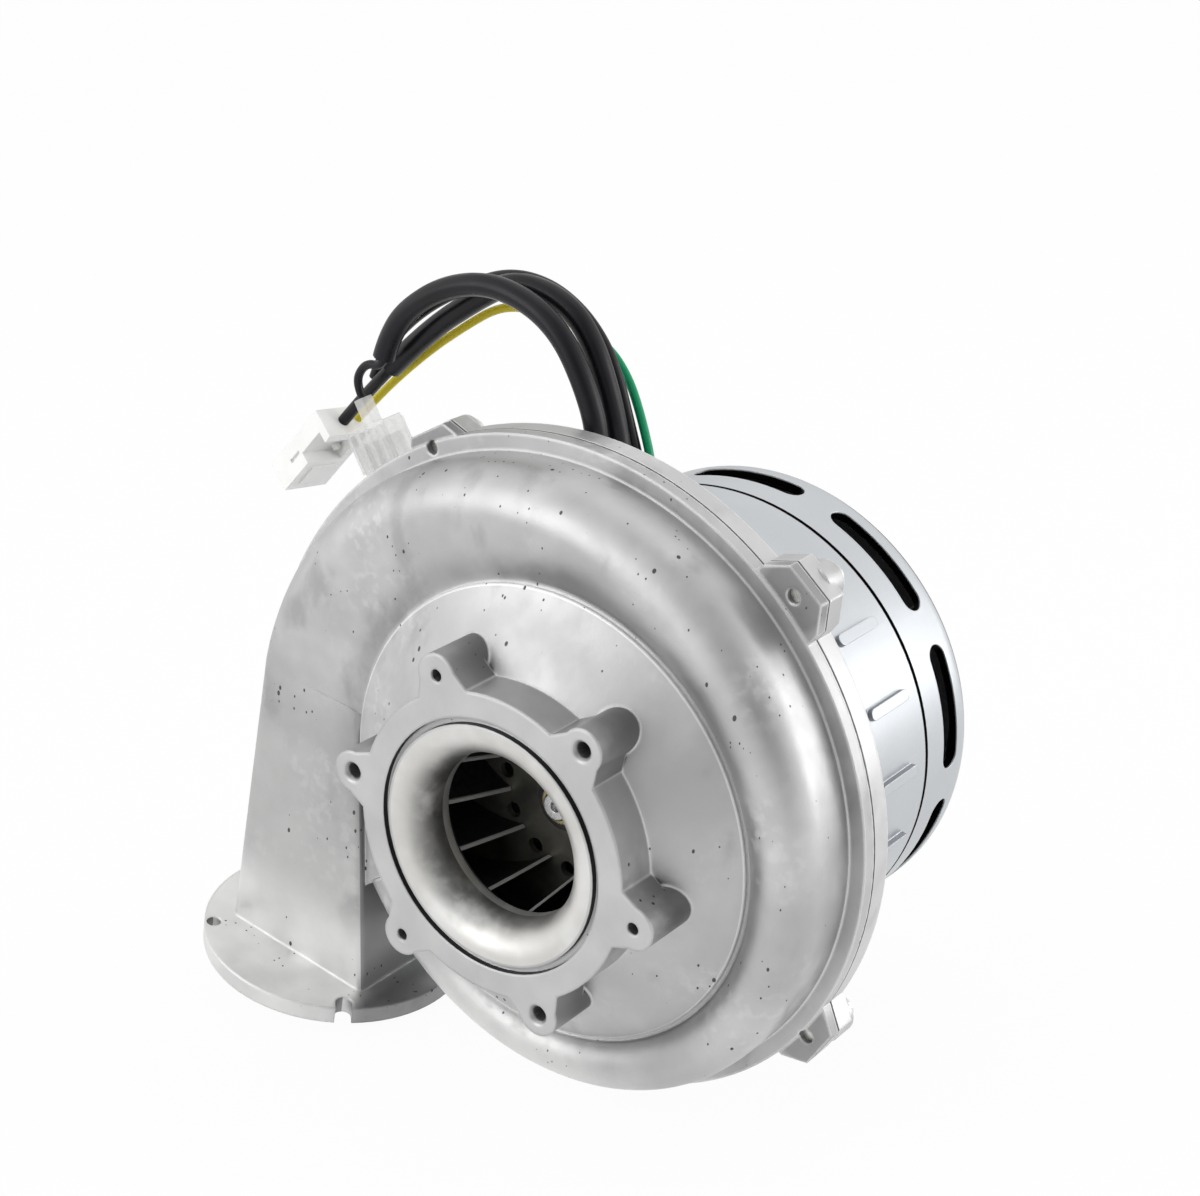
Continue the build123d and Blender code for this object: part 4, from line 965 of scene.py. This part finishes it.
@dataclass
class ClearPlug:
    """The ribbed, see-through housing on the left sleeve's tail, held by a narrow neck."""

    start: Point = (-100.2, 54.8, 70.7)
    across: Point = (1.0, 0.0, 0.0)
    along: Point = (1.8, 0.1, -2.3)
    half: tuple[float, float] = (7.5, 3.7)
    length: float = 21.0
    neck: float = 7.5
    ribs: tuple[float, ...] = (-5.8, -2.1, 1.7, 5.6)
    finish: PlasticFinish = PlasticFinish("plug_clear", (0.86, 0.86, 0.85), (0.74, 0.74, 0.73), 0.28, 0.3,
                                          500.0, 0.02 * MM, 0.42)

    def build(self) -> bpy.types.Object:
        """Moulds the housing, its neck, its ribs and its mating mouth.

        Returns:
            The plug.
        """
        wide, deep = self.half
        plug = Moulding("plug_clear", self.start, self.across, self.along)
        plug.shape(Operation.JOIN, ((-1.9, -1.9, 0.0), (1.9, 1.9, self.neck + 0.5)),
                   ((-wide, -deep, self.neck), (wide, deep, self.length)),
                   *(((place - 0.7, -deep - 1.7, self.neck + 1), (place + 0.7, deep + 1.7, self.length - 1.5))
                     for place in self.ribs))
        plug.shape(Operation.CUT, ((-wide + 1.1, -deep + 1.1, 12.0), (wide - 1.1, deep - 1.1, self.length + 1)))
        piece = plug.finish(0.3, self.finish.material())
        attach(piece, Body.CASING.value)
        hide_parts("clear_plug")
        return piece


@dataclass
class Harness:
    """The leads that leave the gland, and the plugs on their ends."""

    left_sleeve: list[Point] = field(default_factory=lambda: [
        (-20.5, 54.0, 69.0), (-20.5, 54.0, 79.0), (-22.8, 54.0, 91.0), (-28.9, 54.0, 101.3), (-37.2, 54.0, 110.8),
        (-48.1, 54.0, 116.1), (-62.3, 54.0, 116.8), (-76.2, 54.0, 111.0), (-87.2, 54.0, 101.4), (-92.5, 54.0, 91.9),
        (-93.7, 54.0, 85.2)])
    right_sleeve: list[Point] = field(default_factory=lambda: [
        (-18.0, 62.0, 69.0), (-18.0, 62.0, 78.0), (-22.7, 62.3, 90.0), (-27.8, 62.3, 99.7), (-33.2, 62.3, 108.1),
        (-40.4, 62.3, 114.6), (-50.6, 62.3, 117.1), (-61.9, 62.3, 115.5), (-72.3, 62.3, 107.0), (-86.5, 62.3, 93.3),
        (-97.3, 62.3, 79.0)])
    thin_cable: list[Point] = field(default_factory=lambda: [
        (-16.5, 67.8, 69.0), (-16.5, 67.8, 77.5), (-22.8, 67.8, 89.4), (-28.0, 67.8, 99.6), (-34.0, 67.8, 107.5),
        (-42.8, 67.8, 113.7), (-53.9, 67.8, 116.8), (-66.9, 67.8, 115.2), (-80.2, 67.8, 106.8), (-91.2, 67.8, 98.0),
        (-99.8, 67.8, 88.4), (-105.1, 67.8, 79.4), (-107.3, 67.8, 71.1)])
    earth_lead: list[Point] = field(default_factory=lambda: [
        (-12.3, 68.0, 69.0), (-12.3, 68.0, 78.0), (-21.0, 70.5, 91.2), (-28.2, 72.6, 99.0), (-36.0, 73.0, 104.5),
        (-47.7, 72.2, 107.2), (-59.0, 71.0, 107.2), (-69.5, 69.8, 104.7), (-79.8, 69.0, 95.4), (-90.5, 68.5, 84.6),
        (-103.8, 67.7, 68.4), (-111.7, 67.7, 56.8)])
    left_tail: list[Point] = field(default_factory=lambda: [
        (-93.7, 54.0, 85.2), (-94.2, 54.0, 82.2), (-99.4, 54.2, 81.4), (-102.4, 54.5, 76.9), (-102.0, 54.7, 73.0),
        (-100.2, 54.8, 70.7)])
    right_tail: list[Point] = field(default_factory=lambda: [
        (-97.3, 62.3, 79.0), (-104.5, 62.3, 69.4), (-112.3, 62.3, 57.4)])
    sleeve_radius: float = 3.1
    thin_radius: float = 1.7
    earth_radius: float = 1.2
    tail_radius: float = 1.2
    lead_radius: float = 1.7
    black: PlasticFinish = PlasticFinish("sleeve_black", (0.009, 0.009, 0.012), (0.005, 0.005, 0.007), 0.30, 0.0,
                                         220.0, 0.015 * MM, gloss=0.26)
    earth: EarthFinish = EarthFinish("earth_stripes")
    white_plug: WhitePlug = field(default_factory=WhitePlug)
    clear_plug: ClearPlug = field(default_factory=ClearPlug)

    def build(self) -> None:
        """Draws the leads and moulds the plugs."""
        black = self.black.material()
        earth = self.earth.material()
        left_tail = Cord("left_tail", self.left_tail, self.tail_radius, black).build()
        right_tail = Cord("right_tail", self.right_tail, self.lead_radius, black).build()
        white = self.white_plug.build()
        clear = self.clear_plug.build()
        self.declare("left_sleeve", self.left_sleeve, self.sleeve_radius, black)
        self.declare("right_sleeve", self.right_sleeve, self.sleeve_radius, black)
        self.declare("thin_cable", self.thin_cable, self.thin_radius, black)
        self.declare("earth_lead", self.earth_lead, self.earth_radius, earth)

    def declare(self, node: str, route: list[Point], radius: float, material: bpy.types.Material) -> None:
        """Draws one cord and copies its bare line into a mesh.

        Args:
            node: The CAD node it replaces.
            route: Its points, in millimetres.
            radius: Its radius, in millimetres.
            material: Its material.
        """
        cord = Cord(node, route, radius, material).build()
        copy = bpy.data.meshes.new_from_object(self.bare_line(cord))

    def bare_line(self, cord: bpy.types.Object) -> bpy.types.Object:
        """A cord's line with no section.

        Args:
            cord: The drawn cord.

        Returns:
            An unlinked object with the bare line.
        """
        line = cord.data.copy()
        line.bevel_depth = 0.0
        line.resolution_u = 24
        return bpy.data.objects.new("bare_" + cord.name, line)


@dataclass
class Studio:
    """White surroundings, soft lamps and a floor that keeps a faint shadow."""

    lean: float = 12.3
    foot: float = -81.2 * MM
    floor_size: float = 3.0
    aim: Point = (-0.02, 0.06, 0.0)
    lamps: tuple[tuple[str, Point, float, float], ...] = (
        ("left", (-0.62, -0.86, 0.27), 0.70, 2.4),
        ("right", (0.86, 0.66, 0.32), 0.65, 3.6),
        ("top", (-0.25, 0.25, 1.15), 0.8, 1.4))
    base: float = 0.60
    lobes: tuple[tuple[Point, float, float], ...] = (
        ((-0.66, -0.73, 0.17), 0.25, 0.78),
        ((0.81, 0.56, 0.17), 0.30, 0.75),
        ((-0.50, 0.70, 0.52), 0.72, 0.40),
        ((0.10, 0.80, 0.60), 0.55, 0.10),
        ((0.40, -0.91, -0.05), 0.50, -0.42))

    def build(self) -> None:
        """Sets up the floor, lamps and world."""
        self.floor()
        self.world()
        for name, place, size, power in self.lamps:
            self.lamp(name, Vector(place), size, power)

    def lamp(self, name: str, place: Vector, size: float, power: float) -> None:
        """Adds a square lamp that faces the blower.

        Args:
            name: Its name.
            place: Where it stands, in metres.
            size: Its side, in metres.
            power: Its power in watts.
        """
        data = bpy.data.lights.new(name, "AREA")
        data.shape = "SQUARE"
        data.size = size
        data.energy = power
        lamp = bpy.data.objects.new("lamp_" + name, data)
        lamp.location = place
        lamp.rotation_euler = (Vector(self.aim) - place).to_track_quat("-Z", "Y").to_euler()
        bpy.context.scene.collection.objects.link(lamp)

    def floor(self) -> None:
        """Adds the pale floor under the flange's edge and the scroll's rim."""
        mesh = bpy.data.meshes.new("floor")
        half = self.floor_size
        mesh.from_pydata([(-half, -half, 0), (half, -half, 0), (half, half, 0), (-half, half, 0)], [], [(0, 1, 2, 3)])
        floor = bpy.data.objects.new("floor", mesh)
        down = Matrix.Rotation(math.radians(-self.lean), 4, "Y")
        floor.matrix_world = down @ Matrix.Translation((0.0, 0.0, self.foot))
        bpy.context.scene.collection.objects.link(floor)
        shader = Shader("floor_white")
        tree = shader.tree
        grain = shader.noise(40.0, 2.0)
        colour = shader.blend(grain, (0.815, 0.815, 0.815), (0.825, 0.825, 0.825))
        shader.finish(Base_Color=colour, Roughness=0.9)
        white = shader.node("ShaderNodeEmission")
        rays = shader.node("ShaderNodeLightPath")
        seen = shader.maths("MAXIMUM", rays.outputs["Is Camera Ray"],
                            shader.maths("MAXIMUM", rays.outputs["Is Glossy Ray"],
                                         rays.outputs["Is Transmission Ray"]))
        mix = shader.node("ShaderNodeMixShader")
        shader.feed(mix.inputs[0], shader.times(seen, 0.95))
        tree.links.new(shader.surface.outputs[0], mix.inputs[1])
        tree.links.new(white.outputs[0], mix.inputs[2])
        tree.links.new(mix.outputs[0], tree.nodes["Material Output"].inputs["Surface"])
        floor.data.materials.append(shader.material)

    def world(self) -> None:
        """Makes the surroundings white to the camera, with soft light sides and a dim front for the metal."""
        world = bpy.data.worlds.new("studio")
        bpy.context.scene.world = world
        world.use_nodes = True
        world.node_tree.nodes.clear()
        tree = NodeTree(world.node_tree)
        way = tree.node("ShaderNodeTexCoord").outputs["Generated"]
        level = self.base
        for middle, edge, gain in self.lobes:
            share = tree.step(tree.toward(way, Vector(middle).normalized()), edge, 1.0)
            level = tree.maths("MULTIPLY_ADD", share, gain, level)
        shade = tree.node("ShaderNodeBackground")
        white = tree.node("ShaderNodeBackground")
        tree.feed(white.inputs["Color"], (1.0, 1.0, 1.0))
        tree.feed(shade.inputs["Color"], level)
        mix = tree.node("ShaderNodeMixShader")
        tree.feed(mix.inputs[0], tree.node("ShaderNodeLightPath").outputs["Is Camera Ray"])
        tree.feed(mix.inputs[1], shade.outputs[0])
        tree.feed(mix.inputs[2], white.outputs[0])
        tree.feed(tree.node("ShaderNodeOutputWorld").inputs["Surface"], mix.outputs[0])


@dataclass
class PhotoCamera:
    """The camera at the photograph's view."""

    place: Point = (0.270787, -0.394136, 0.318855)
    right: Point = (0.79262256, 0.59195723, 0.14606888)
    down: Point = (0.38001909, -0.29229176, -0.87758248)
    ahead: Point = (-0.47679657, 0.75110064, -0.45663209)
    lens: float = 69.24

    def build(self) -> None:
        """Adds the camera and makes it the scene's."""
        data = bpy.data.cameras.new("photo")
        data.lens = self.lens
        data.sensor_width = 36.0
        data.clip_start = 0.01
        camera = bpy.data.objects.new("photo", data)
        turn = Matrix((self.right, [-v for v in self.down], [-v for v in self.ahead])).transposed().to_4x4()
        camera.matrix_world = Matrix.Translation(self.place) @ turn
        bpy.context.scene.collection.objects.link(camera)
        bpy.context.scene.camera = camera


def main() -> None:
    """Builds the blower's looks and the studio around it."""
    logging.basicConfig(level=logging.INFO, format="%(message)s")
    bpy.context.scene.view_settings.view_transform = "Standard"
    for group in (PhotoCamera(), Harness(), Castings(), MotorDrum(), Internals(), Studio()):
        group.build()
        LOG.info("%s done", type(group).__name__)


if __name__ == "__main__":
    main()
